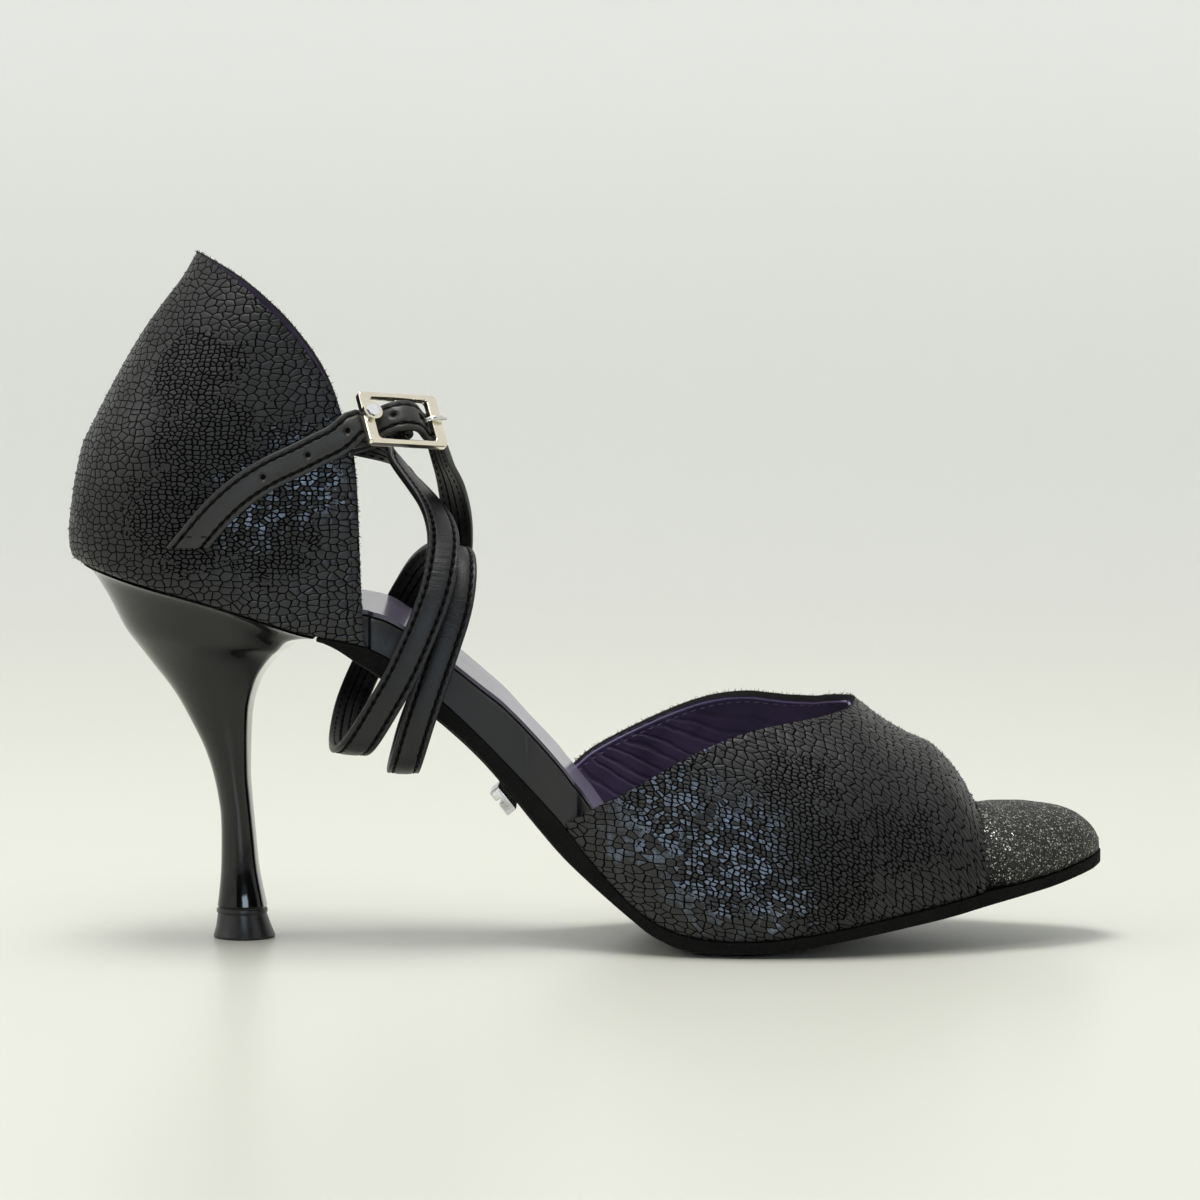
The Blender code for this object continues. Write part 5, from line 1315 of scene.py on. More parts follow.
# %% Tables of the straps
Fold = namedtuple("Fold", "x y z out_x out_y out_z")
STRAP = [Fold(*row) for row in (
    (0.2247, 0.447, 1.344, -0.1, 0.98, 0.15), (0.2613, 0.421, 1.322, 0.05, 0.93, 0.35),
    (0.3081, 0.408, 1.281, 0.35, 0.55, 0.75), (0.3229, 0.25, 1.235, 0.5, 0.1, 0.86),
    (0.3407, 0.053, 1.185, 0.58, -0.35, 0.74), (0.3566, -0.184, 1.134, 0.5, -0.7, 0.5),
    (0.3644, -0.368, 1.078, 0.3, -0.92, 0.25), (0.3642, -0.513, 1.011, 0.1, -0.99, 0.12),
    (0.358, -0.605, 0.928, 0, -1, 0.03), (0.345, -0.653, 0.833, 0, -1, 0),
    (0.327, -0.658, 0.725, 0, -1, 0), (0.3078, -0.626, 0.633, -0.02, -0.99, -0.1),
    (0.2889, -0.539, 0.551, -0.05, -0.86, -0.5), (0.2771, -0.395, 0.516, -0.05, -0.5, -0.87),
    (0.2694, -0.184, 0.512, 0, -0.15, -0.99), (0.266, 0.079, 0.535, 0, 0.2, -0.98),
    (0.2686, 0.342, 0.597, 0, 0.75, -0.66), (0.2772, 0.487, 0.664, 0, 0.97, -0.25),
    (0.2896, 0.547, 0.735, 0, 1, 0), (0.3065, 0.547, 0.819, 0.03, 1, 0.05),
    (0.3238, 0.495, 0.905, 0.08, 0.95, 0.3), (0.3414, 0.368, 0.981, 0.12, 0.75, 0.65),
    (0.3613, 0.158, 1.029, 0.18, 0.3, 0.94), (0.3742, -0.079, 1.034, 0.2, -0.25, 0.95),
    (0.38, -0.276, 1.013, 0.18, -0.72, 0.67), (0.3808, -0.421, 0.956, 0.1, -0.96, 0.25),
    (0.3764, -0.5, 0.88, 0.05, -1, 0.05), (0.3652, -0.547, 0.783, 0, -1, 0),
    (0.3529, -0.568, 0.685, 0, -1, 0), (0.3413, -0.561, 0.591, 0, -1, -0.1),
    (0.3322, -0.487, 0.512, 0, -0.86, -0.51), (0.3264, -0.342, 0.466, 0, -0.5, -0.87),
    (0.3239, -0.132, 0.457, 0, -0.1, -1), (0.3249, 0.132, 0.482, 0, 0.3, -0.95),
    (0.3303, 0.355, 0.543, 0, 0.8, -0.6), (0.3394, 0.474, 0.613, 0, 0.98, -0.2),
    (0.3531, 0.513, 0.72, 0, 1, 0), (0.3652, 0.484, 0.851, 0.05, 1, 0.05),
    (0.3725, 0.426, 0.988, 0.12, 0.99, 0.1), (0.3741, 0.332, 1.103, 0.31, 0.91, 0.26),
    (0.3692, 0.158, 1.202, 0.52, 0.58, 0.63), (0.3616, -0.026, 1.271, 0.6, 0.05, 0.8),
    (0.3579, -0.211, 1.321, 0.57, -0.31, 0.76),
)]
Pass = namedtuple("Pass", "along proud")
THROUGH = [Pass(*row) for row in (
    (0.5, -1.55), (0.39, -1.45), (0.28, -0.5), (0.16, 0.75), (0.03, 1.2), (-0.1, 0.95),
    (-0.21, -0.25), (-0.3, -1.45), (-0.42, -1.6), (-0.53, -1.55),
)]
SHORT_STRAP_PASS = [Pass(*row) for row in (
    (-0.28, -3.8), (-0.12, -1.85),
)]
PRONG_PASS = [Pass(*row) for row in (
    (0.165, -1.05), (0.215, -0.85), (0.265, -0.2), (0.315, 0.55), (0.37, 0.98), (0.45, 1.08),
    (0.53, 0.98),
)]
TAIL = [Edge(*row) for row in (
    (0.2652, 1.3282), (0.2471, 1.3035), (0.2265, 1.2753), (0.2019, 1.2435), (0.1761, 1.1965),
    (0.1512, 1.1341), (0.1262, 1.0541),
)]
SHORT_STRAP_IN = [Edge(*row) for row in (
    (0.2075, 1.2941), (0.2376, 1.3106), (0.2677, 1.3282),
)]

# %% Where the buckle sits
BUCKLE_LONG = 0.0194
BUCKLE_SHORT = 0.0133
BUCKLE_THICK = 0.0018
BUCKLE_SIDE_BAR = 0.0026
BUCKLE_RAIL = 0.0018
BAR_RADIUS = 0.0008
BAR_DROP = 0.0013
BAR_SHIFT = 0.0005
BUCKLE_CENTRE = (-0.1735 * LENGTH, -0.526 * HALF_BALL, 1.3776 * HEEL_HEIGHT)
BUCKLE_LONG_AXIS = (0.857, 0.511, -0.066)
BUCKLE_DOWN_AXIS = (0.263, -0.496, -0.827)
STONE_RADIUS = 0.00155
STONE_TABLE = 0.62
STONE_HEIGHT = 0.0010
STONE_REST = 0.0002
STONE_DOWN = -0.0012
CUP_WALL = 0.0004
CUP_HEIGHT = 0.0009
CUP_EDGE = 0.0001
PRONG_RADIUS = 0.00055
EYE_START = 205
EYE_STEP = 24
HOLE_ALONG = 0.268
HOLE_LONG = 0.0038
HOLE_WIDE = 0.0019
SLOT_LONG = 0.0062
SLOT_WIDE = 0.0022
SLOT_FORWARD = 0.0016
OPENING_DEEP = 0.008
WRAP_START = -100
WRAP_STEP = 26
WRAP_COUNT = 9
HALVINGS = 23
TAIL_SLANT = 0.0030
PROBE = 0.001
LONG_AXIS = Vector(BUCKLE_LONG_AXIS).normalized()
FACE_AXIS = Vector(BUCKLE_DOWN_AXIS).cross(LONG_AXIS).normalized()
FACE_AXIS = -FACE_AXIS if FACE_AXIS.y > 0 else FACE_AXIS
DOWN_AXIS = LONG_AXIS.cross(FACE_AXIS).normalized()
DOWN_AXIS = -DOWN_AXIS if DOWN_AXIS.z > 0 else DOWN_AXIS
CENTRE = Vector(BUCKLE_CENTRE)


def on_buckle(along, down, proud):
    return CENTRE + LONG_AXIS * along + DOWN_AXIS * down + FACE_AXIS * proud


def buckle_place(along, down, proud):
    """A placing matrix: local x along the buckle, y down it, z out of its face."""
    return axes_at(LONG_AXIS, DOWN_AXIS, LONG_AXIS.cross(DOWN_AXIS), on_buckle(along, down, proud))


def on_quarter(x, z):
    """The point of the quarter's outer side at x and z."""
    low, high = 0.0, 1.0
    for _ in range(HALVINGS):
        up = (low + high) / 2
        back, front = counter_value("back_x", up), counter_value("front_x", up)
        y, reached = counter_point(up, (x - back) / (front - back), OUTER)[1:]
        low, high = (up, high) if reached < z else (low, up)
    return Vector((x, y, z))


def beside_quarter(x, z, away):
    """A place away from the quarter's outer side, with the way out of it."""
    along = on_quarter(x + PROBE, z) - on_quarter(x - PROBE, z)
    upward = on_quarter(x, z + PROBE) - on_quarter(x, z - PROBE)
    out = along.cross(upward).normalized()
    if out.y > 0:
        out = -out
    return (*(on_quarter(x, z) + out * away), *out)


def on_face(along, proud):
    """A place on the buckle's middle line, facing the way the buckle faces."""
    return (*on_buckle(along * BUCKLE_LONG, 0, proud * BUCKLE_THICK), *FACE_AXIS)


def smooth_path(rows, count):
    """An even run of rows through a list of rows, bent smoothly at each."""
    rows = np.array(rows, float)
    padded = np.vstack([2 * rows[0] - rows[1], rows, 2 * rows[-1] - rows[-2]])
    dense = []
    for i in range(1, len(padded) - 2):
        a, b, c, d = padded[i - 1 : i + 3]
        for k in range(12):
            t = k / 12
            square, cube = 2 * a - 5 * b + 4 * c - d, 3 * b - 3 * c + d - a
            dense.append(0.5 * (2 * b + (c - a) * t + square * t * t + cube * t ** 3))
    dense.append(rows[-1])
    dense = np.array(dense)
    for _ in range(3):
        dense[1:-1] = (dense[:-2] + 2 * dense[1:-1] + dense[2:]) / 4
    return resample(dense, count)


print("buckle centre", [round(c, 4) for c in CENTRE])

# %% [markdown]
# A strap is a grid rolled round a flat section with softly turned edges, padded between its seams. Its UV
# map runs along it, and across it from the middle of the right side, so that the strap's material can draw
# the puckered seams, the creases and the tail's holes where they belong.

# %% Rolling a strap
SEAM_PULL_WIDE = 0.00035
SEAM_STEPS_OFF = (0.0004, 0.0002, 0.0, -0.0002, -0.0004)


def strap_height(a, width, thickness):
    """The right side's height: padded in the middle, pulled down along the stitch lines."""
    seam = width / 2 - STITCH_IN
    pulled = GROOVE * math.exp(-(((abs(a) - seam) / SEAM_PULL_WIDE) ** 2))
    padded = CROWN * (1 - (a / seam) ** 2) ** 0.5 if abs(a) < seam else 0.0
    return thickness / 2 - pulled + padded


def strap_section(width, thickness, turn):
    """Points round a strap's section: across and out, from the wrong side's edge over the right side."""
    half_wide, half_thick = width / 2 - turn, thickness / 2 - turn
    points = []
    for sx, sz, start in ((-1, 1, 180), (1, 1, 90), (1, -1, 0), (-1, -1, -90)):
        for k in range(5):
            a = math.radians(start - 90 * k / 4)
            points.append((sx * half_wide + turn * math.cos(a), sz * half_thick + turn * math.sin(a)))
        if start == 180:
            seam = width / 2 - STITCH_IN
            steps = [seam + off for off in SEAM_STEPS_OFF] + [seam * 0.55, seam * 0.25]
            for a in [-t for t in steps] + [0.0] + steps[::-1]:
                points.append((a, strap_height(a, width, thickness)))
        if start == 0:
            points += [(half_wide * (1 - 2 * k / 5), -(half_thick + turn)) for k in range(1, 5)]
    return points


def strap_frames(path):
    """For each row of a path: its place, the way ahead, across and out."""
    frames = []
    for i, row in enumerate(path):
        here = Vector(row[:3])
        ahead = Vector(path[min(i + 1, len(path) - 1)][:3]) - Vector(path[max(i - 1, 0)][:3])
        ahead.normalize()
        out = Vector(row[3:6])
        out = (out - ahead * out.dot(ahead)).normalized()
        frames.append((here, ahead, ahead.cross(out), out))
    return frames


def strap_run(frames):
    run = [0.0]
    for a, b in zip(frames, frames[1:]):
        run.append(run[-1] + (b[0] - a[0]).length)
    return run


def roll_strap(frames, width, thickness, slant=0.0, turn=0.00042):
    """A strap's bmesh; slant cuts its far end askew. Its wrong side takes the second material."""
    section = strap_section(width, thickness, turn)
    section.append(section[0])
    run = strap_run(frames)
    last = len(frames) - 1

    def place(u, v):
        i, j = round(u * last), round(v * (len(section) - 1))
        here, ahead, across, out = frames[i]
        a, o = section[j]
        shift = slant * (2 * a / width) * smooth((i - last + 3) / 3)
        around = a if o > 0 else a + math.copysign(thickness, a)
        return here + across * a + out * o + ahead * shift, (run[i], around)

    build = bmesh.new()
    patch(build, place, last, len(section) - 1)
    uv = build.loops.layers.uv.active
    for face in build.faces:
        middle = sum(abs(loop[uv].uv.y) for loop in face.loops) / len(face.loops)
        face.material_index = 1 if middle > width / 2 + 0.0001 else 0
    close_solid(build, 1e-9)
    wrong = []
    for face in build.faces:
        if len(face.verts) == 4:
            middle = sum(loop[uv].uv.x for loop in face.loops) / 4
            i = max(min(bisect_left(run, middle), last), 1)
            if (face.calc_center_median() - frames[i - 1][0].lerp(frames[i][0], 0.5)).dot(face.normal) < 0:
                wrong.append(face)
    bmesh.ops.reverse_faces(build, faces=wrong)
    return build


def block(size, place):
    """A bmesh with one block in it."""
    build = bmesh.new()
    bmesh.ops.create_cube(build, size=1.0)
    bmesh.ops.scale(build, vec=size, verts=build.verts)
    bmesh.ops.transform(build, matrix=place, verts=build.verts)
    return build


def cut(made, size, place):
    """Takes a block out of a piece for good."""
    cutter = place_in_scene("cutter", block(size, place))
    taken = made.modifiers.new("opening", "BOOLEAN")
    taken.operation = "DIFFERENCE"
    taken.solver = "EXACT"
    taken.object = cutter
    settle(made)
    bpy.data.objects.remove(cutter)


print("straps can be rolled")

# %% Places along a strap
def places_along(frames):
    """Gives matrices at places on a strap: x along it, y across it, z out of its right side."""
    run = strap_run(frames)

    def at(along, a, out_by):
        i = max(min(bisect_left(run, along), len(run) - 1), 1)
        share = (along - run[i - 1]) / (run[i] - run[i - 1])
        here, ahead, across, out = [p.lerp(q, share) for p, q in zip(frames[i - 1], frames[i])]
        axes = [way.normalized() for way in (ahead, across, out)]
        return axes_at(*axes, here + across * a + out * out_by)

    return at


# %% Long strap
long_path = [(at_share(f.x), f.y * HALF_BALL, f.z * HEEL_HEIGHT, f.out_x, f.out_y, f.out_z) for f in STRAP]
long_path += [on_face(p.along, p.proud) for p in THROUGH]
long_path += [beside_quarter(at_share(e.x), e.z * HEEL_HEIGHT, STRAP_THICKNESS / 2 + TAIL_OFF) for e in TAIL]
long_frames = strap_frames(smooth_path(long_path, 300))
strap_nappa = strap_leather("dark grey nappa", sewn_at=STRAP_WIDTH / 2 - STITCH_IN)
strap_lining = strap_leather("dark strap lining", 0.7, 1.6)
build = roll_strap(long_frames, STRAP_WIDTH, STRAP_THICKNESS, TAIL_SLANT)
long_strap = show("long_instep_strap", build, [strap_nappa, strap_lining], "long_strap")
on_long_strap = places_along(long_frames)
cut(long_strap, (HOLE_LONG, HOLE_WIDE, OPENING_DEEP), buckle_place(HOLE_ALONG * BUCKLE_LONG, 0, 0))
print("strap length", round(strap_run(long_frames)[-1], 4))

# %% Short strap
inside = -(COUNTER_WALL + SHORT_STRAP_THICKNESS / 2 + INNER_OFF)
short_path = [beside_quarter(at_share(e.x), e.z * HEEL_HEIGHT, inside) for e in SHORT_STRAP_IN]
short_path += [on_face(p.along, p.proud) for p in SHORT_STRAP_PASS]
wrap_reach = BAR_RADIUS + GAP + SHORT_STRAP_THICKNESS / 2
for k in range(WRAP_COUNT):
    turn = math.radians(WRAP_START + WRAP_STEP * k)
    here = on_buckle(BAR_SHIFT + wrap_reach * math.cos(turn), 0, wrap_reach * math.sin(turn) - BAR_DROP)
    short_path.append((*here, *-(LONG_AXIS * math.cos(turn) + FACE_AXIS * math.sin(turn))))
short_frames = strap_frames(smooth_path(short_path, 90))
build = roll_strap(short_frames, SHORT_STRAP_WIDTH, SHORT_STRAP_THICKNESS, turn=0.0003)
short_strap = show("short_buckle_strap", build, [strap_lining, strap_nappa], "buckle_strap")
cut(short_strap, (SLOT_LONG, SLOT_WIDE, OPENING_DEEP), buckle_place(BAR_SHIFT + SLOT_FORWARD, 0, -BAR_DROP))

# %% [markdown]
# The buckle is a cast oblong frame. A block is inset on its face and back, the two insets are bridged into
# a window, and all its edges are rounded.

# %% Buckle frame
def spin_up(build, edges, steps):
    """Turns edges once round the z axis."""
    bmesh.ops.spin(build, geom=edges, cent=(0, 0, 0), axis=(0, 0, 1), angle=2 * math.pi, steps=steps,
                   use_merge=True)


def bevel(build, edges, width, segments):
    bmesh.ops.bevel(build, geom=edges, offset=width, offset_type="OFFSET", affect="EDGES", segments=segments,
                    profile=0.5, material=-1)


build = block((BUCKLE_LONG, BUCKLE_SHORT, BUCKLE_THICK), Matrix.Identity(4))
faces = [f for f in build.faces if abs(f.normal.z) > 0.9]
bmesh.ops.inset_individual(build, faces=faces, thickness=BUCKLE_RAIL)
reach = BUCKLE_LONG / 2 - BUCKLE_SIDE_BAR
for face in faces:
    for corner in face.verts:
        corner.co.x = math.copysign(reach, corner.co.x)
bmesh.ops.bridge_loops(build, edges=[e for f in faces for e in f.edges])
bmesh.ops.delete(build, geom=faces, context="FACES_ONLY")
bmesh.ops.recalc_face_normals(build, faces=build.faces)
upright = [e for e in build.edges if abs((e.verts[0].co - e.verts[1].co).z) > BUCKLE_THICK * 0.9]
bevel(build, upright, 0.0009, 5)
rims = [e for e in build.edges if len(e.link_faces) == 2 and e.calc_face_angle() > math.radians(60)]
bevel(build, rims, 0.00032, 3)
bmesh.ops.transform(build, matrix=buckle_place(0, 0, 0), verts=build.verts)
bar = bmesh.ops.create_cone(build, cap_ends=True, segments=24, radius1=BAR_RADIUS, radius2=BAR_RADIUS,
                            depth=BUCKLE_SHORT - BUCKLE_RAIL)
bar_place = buckle_place(BAR_SHIFT, 0, -BAR_DROP) @ Matrix.Rotation(math.radians(90), 4, "X")
bmesh.ops.transform(build, matrix=bar_place, verts=bar["verts"])
stone_along = STONE_RADIUS + CUP_WALL + CUP_EDGE - BUCKLE_LONG / 2
face_out = BUCKLE_THICK / 2
cup_inside = STONE_RADIUS + GAP
cup_outside = cup_inside + CUP_WALL
profile = [(cup_inside, CUP_HEIGHT), (cup_outside, CUP_HEIGHT), (cup_outside, -CUP_HEIGHT), (0.0, -CUP_HEIGHT),
           (0.0, 0.0), (cup_inside, 0.0)]
frame_verts = set(build.verts)
corners = [build.verts.new((r, 0.0, h)) for r, h in profile]
turned = [build.edges.new((a, b)) for a, b in zip(corners, corners[1:] + corners[:1]) if a.co.x + b.co.x > 0]
spin_up(build, turned, 32)
cup_verts = [v for v in build.verts if v not in frame_verts]
bmesh.ops.transform(build, matrix=buckle_place(stone_along, STONE_DOWN, face_out), verts=cup_verts)
bmesh.ops.remove_doubles(build, verts=build.verts, dist=JOIN)
bmesh.ops.recalc_face_normals(build, faces=build.faces)
show("gold_buckle_frame", build, [pale_gold], "buckle_frame", sharp=50)

# %% Stone
build = bmesh.new()
rings = ((1.0, -0.5, 0.0), (1.0, -0.1, 0.0), (0.82, 0.22, 0.5), (STONE_TABLE, 0.5, 0.0))
loops = []
for share, height, turned in rings:
    turns = [math.radians(45 * (k + turned)) for k in range(8)]
    loops.append([build.verts.new((STONE_RADIUS * share * math.cos(a), STONE_RADIUS * share * math.sin(a),
                                   STONE_HEIGHT * height)) for a in turns])
for low, high in zip(loops, loops[1:]):
    for k in range(8):
        build.faces.new((low[k], low[(k + 1) % 8], high[k]))
        build.faces.new((low[(k + 1) % 8], high[(k + 1) % 8], high[k]))
top = build.faces.new(loops[-1])
bmesh.ops.poke(build, faces=[top], offset=STONE_HEIGHT * 0.08)
build.faces.new(loops[0][::-1])
bmesh.ops.recalc_face_normals(build, faces=build.faces)
stone_place = buckle_place(stone_along, STONE_DOWN, face_out + STONE_HEIGHT / 2 + STONE_REST)
bmesh.ops.transform(build, matrix=stone_place, verts=build.verts)
show("clear_buckle_stone", build, [clear_stone], "crystal", sharp=5)

# %% Prong
prong_path = []
eye = BAR_RADIUS + GAP + PRONG_RADIUS
for k in range(12):
    turn = math.radians(EYE_START - EYE_STEP * k)
    prong_path.append(tuple(on_buckle(BAR_SHIFT + eye * math.cos(turn), 0, eye * math.sin(turn) - BAR_DROP)))
prong_path += [on_face(p.along, p.proud)[:3] for p in PRONG_PASS]
prong_line = smooth_path(prong_path, 90)


def prong_point(u, v):
    i = round(u * (len(prong_line) - 1))
    ahead = Vector(prong_line[min(i + 1, len(prong_line) - 1)]) - Vector(prong_line[max(i - 1, 0)])
    out = DOWN_AXIS.cross(ahead.normalized()).normalized()
    turn = 2 * math.pi * v
    taper = 1 - 0.45 * smooth((i - len(prong_line) * 0.9) / (len(prong_line) * 0.1))
    lean = (DOWN_AXIS * math.cos(turn) + out * math.sin(turn)) * PRONG_RADIUS * taper
    return Vector(prong_line[i]) + lean, (u * 0.02, v * 0.003)


show_solid("steel_prong", prong_point, len(prong_line) - 1, 16, steel, "buckle_prong", sharp=60)

# %% Bare plate
PLATE_LENGTH = 0.0064
PLATE_WIDTH = 0.012
PLATE_THICK = 0.0026
PLATE_GROOVE = 0.0009
PLATE_OFF = 0.0004
PLATE_X = -0.0727 * LENGTH
PLATE_Y = -0.289 * HALF_BALL
PLATE_GROOVE_SHIFT = -0.0004
plate_outer, plate_inner = plan_edge(PLATE_X, OUTER), plan_edge(PLATE_X, INNER)
under = sole_under(PLATE_X, (PLATE_Y - plate_outer) / (plate_inner - plate_outer) * 2 - 1)
half_plate = PLATE_LENGTH / 2
slope = math.atan2(sole_low(PLATE_X + half_plate) - sole_low(PLATE_X - half_plate), PLATE_LENGTH)
down = Vector((math.sin(slope), 0, -math.cos(slope)))
seat = Vector((PLATE_X, PLATE_Y, under)) + down * (PLATE_THICK / 2 + PLATE_OFF)
lie = Matrix.Translation(seat) @ Matrix.Rotation(-slope, 4, "Y")
build = block((PLATE_LENGTH, PLATE_WIDTH, PLATE_THICK), lie)
bmesh.ops.recalc_face_normals(build, faces=build.faces)
badge = show("bare_waist_plate", build, [steel], "badge_plate", sharp=30)
groove_at = lie @ Matrix.Translation(Vector((PLATE_GROOVE_SHIFT, 0, -PLATE_THICK / 2)))
cut(badge, (PLATE_GROOVE, 2 * PLATE_WIDTH, PLATE_THICK), groove_at)
soften(badge, 0.0003, 3, 40)

# %% [markdown]
# Thread shows along every edge. A stitch is a small slim ball, laid at a place with a direction, and a few
# faces are enough for each. The helper takes a list of such places.

# %% Sewing
STITCH_LONG = 0.00165
STITCH_THICK = 0.00046


def sew(name, places, look, long=STITCH_LONG, thick=STITCH_THICK):
    build = bmesh.new()
    for place in places:
        shape = place @ Matrix.Diagonal((long / 2, thick / 2, thick / 2, 1.0))
        bmesh.ops.create_icosphere(build, subdivisions=1, radius=1.0, matrix=shape)
    return show(name, build, [look], sharp=80)


def strap_stitches(spot, width, thickness, start, end):
    """Rows along both edges of a strap and across its slanted tail."""
    seam = width / 2 - STITCH_IN
    top = thickness / 2 - GROOVE + STITCH_THICK * 0.25
    places = []
    for a in (-seam, seam):
        stop = end + TAIL_SLANT * 2 * a / width
        count = int((stop - start) / STITCH_PITCH)
        for k in range(count):
            along = start + (k + 0.5) * (stop - start) / count
            places += [spot(along, a, top), spot(along, a, -thickness / 2)]
    lean = math.pi / 2 - math.atan2(TAIL_SLANT * 2 / width, 1)
    for a in (-seam / 2, seam / 2):
        place = spot(end + TAIL_SLANT * 2 * a / width, a, thickness / 2 + CROWN * 0.6)
        places.append(place @ Matrix.Rotation(lean, 4, "Z"))
    return places


strap_end = strap_run(long_frames)[-1]
strap_seams = strap_stitches(on_long_strap, STRAP_WIDTH, STRAP_THICKNESS, 0.002, strap_end - 0.0032)
sew("long_strap_stitching", strap_seams, black_thread)
print("strap sewn")

# %% [markdown]
# Round the openings the lining is sewn to the upper 2 mm below the edge, with lilac thread inside and
# black thread outside. A place on a sheet is found from the same function that laid its grid, and its
# normal from two small steps.

# %% Places on a sheet
def sheet_place(place, u, v, along_v=False, lift=0.0, inside=0.0):
    """A matrix on a sheet: x along the seam, z out of the sheet; inside moves it to the wrong side."""
    small = 0.004
    here = place(u, v)[0]
    by_u = place(min(u + small, 1.0), v)[0] - place(max(u - small, 0.0), v)[0]
    by_v = place(u, min(v + small, 1.0))[0] - place(u, max(v - small, 0.0))[0]
    out = by_u.cross(by_v).normalized()
    heart = Vector((here.x, 0.0, here.z * 0.6))
    if out.dot(here - heart) < 0:
        out = -out
    ahead = by_v if along_v else by_u
    ahead = (ahead - out * ahead.dot(out)).normalized()
    return axes_at(ahead, out.cross(ahead), out, here + out * (lift - inside))


def seam_places(sheet, spot, start, end, pitch, **where):
    """Evenly spaced places along a seam: spot(t) gives u and v."""
    probe = [sheet(*spot(start + (end - start) * k / 200))[0] for k in range(201)]
    run = [0.0]
    for a, b in zip(probe, probe[1:]):
        run.append(run[-1] + (b - a).length)
    count = int(run[-1] / pitch)
    ts = np.interp([(k + 0.5) * run[-1] / count for k in range(count)], run, np.linspace(start, end, 201))
    return [sheet_place(sheet, *spot(float(t)), **where) for t in ts]


def sheet_height(sheet, u):
    """How long a sheet's column is from its foot to its top."""
    column = [sheet(u, k / 12)[0] for k in range(13)]
    return sum((b - a).length for a, b in zip(column, column[1:]))


def below_top(sheet, down):
    """A line that keeps the same distance below a sheet's top edge."""
    heights = [sheet_height(sheet, k / 20) for k in range(21)]
    return lambda t: (t, 1 - down / np.interp(t, np.linspace(0, 1, 21), heights))


print("seams can be placed")

# %% Sewing the vamp
EDGE_SEAM = 0.0020
LINING_PITCH, EDGE_PITCH, BACK_PITCH = 0.0022, 0.0016, 0.0018
VAMP_DEEP = 0.026
outside = {"lift": 0.00004}


def sew_upper(name, inside_places, outside_places):
    sew(name + "_lining_stitching", inside_places, lilac_thread, long=0.0015, thick=0.0003)
    sew(name + "_edge_stitching", outside_places, black_thread, long=0.0012, thick=0.00022)


inside_places, outside_places = [], []
for side in (OUTER, INNER):
    sheet = vamp_place(side)
    top = (below_top(sheet, EDGE_SEAM), 0.02, 0.585)
    inside_places += seam_places(sheet, *top, LINING_PITCH, inside=UPPER_WALL + 0.00005)
    outside_places += seam_places(sheet, *top, EDGE_PITCH, **outside)
    front = (lambda t: (1 - EDGE_SEAM / VAMP_DEEP * (1 - VAMP_REAR_SHARE), t), 0.06, 0.98)
    outside_places += seam_places(sheet, *front, EDGE_PITCH, along_v=True, **outside)
sew_upper("vamp", inside_places, outside_places)

# %% Sewing the counter
BACK_SEAM_OFF = 0.0016 / 0.06


def behind_front(side):
    """A line that keeps the same distance behind the quarter's front edge."""
    widths = [counter_line(k / 20, side)[1][-1] for k in range(21)]
    return lambda t: (1 - min(EDGE_SEAM / np.interp(t, np.linspace(0, 1, 21), widths), 0.5), t)


inside_places, outside_places = [], []
for side in (OUTER, INNER):
    sheet = counter_place(side)
    front = (behind_front(side), 0.03, 0.955)
    outside_places += seam_places(sheet, *front, EDGE_PITCH, along_v=True, **outside)
    inside_places += seam_places(sheet, *front, LINING_PITCH, along_v=True, inside=COUNTER_WALL + 0.00005)
    back = (lambda t: (BACK_SEAM_OFF, t), 0.04, 0.93)
    outside_places += seam_places(sheet, *back, BACK_PITCH, along_v=True, lift=0.00002)
sew_upper("counter", inside_places, outside_places)

# %% [markdown]
# The topline of the vamp is bound inside with a thin lilac piping. It is a fine tube that follows the
# edge: a grid rolled round the line of places just inside the topline.

# %% Piping
PIPING_RADIUS = 0.00034
PIPING_DOWN = 0.0008
PIPING_STEP = 0.0012
PIPING_SIDES = 10


def tube(build, places, radius):
    """A grid rolled round a line of placing matrices whose x runs along the line."""

    def place(u, v):
        at = places[round(u * (len(places) - 1))]
        turn = 2 * math.pi * v
        return at @ Vector((0.0, radius * math.cos(turn), radius * math.sin(turn))), (u, v)

    patch(build, place, len(places) - 1, PIPING_SIDES)


build = bmesh.new()
for side in (OUTER, INNER):
    sheet = vamp_place(side)
    line = seam_places(sheet, below_top(sheet, PIPING_DOWN), 0.004, 0.598, PIPING_STEP, inside=UPPER_WALL)
    tube(build, line, PIPING_RADIUS)
close_solid(build)
show("vamp_lilac_piping", build, [piping_leather])

# %% [markdown]
# Cut suede is never clean: short fibres stand out along its edges. Each is a thin three-sided cone at a
# seeded random place and lean, a few tenths of a millimetre long.

# %% Fibres along the edges
LEAN = 0.55
SOLE_CLEAR = 0.002
LONG_FIBRE_CHANCE, LONG_FIBRE = 0.06, 1.8
SHORT_FIBRES = (0.0003, 0.0007)
luck = random.Random(7)


def fibre(build, at, out_way, long):
    lean = Vector([luck.gauss(0, LEAN) for _ in range(3)])
    way = (out_way + lean).normalized()
    thick = luck.uniform(0.00006, 0.00013)
    across = way.orthogonal().normalized() * thick
    tip = build.verts.new(at + way * long * 0.92)
    foot = [build.verts.new(at - way * long * 0.08 + Matrix.Rotation(math.radians(120 * k), 3, way) @ across)
            for k in range(3)]
    for k in range(3):
        build.faces.new((foot[k], foot[(k + 1) % 3], tip))


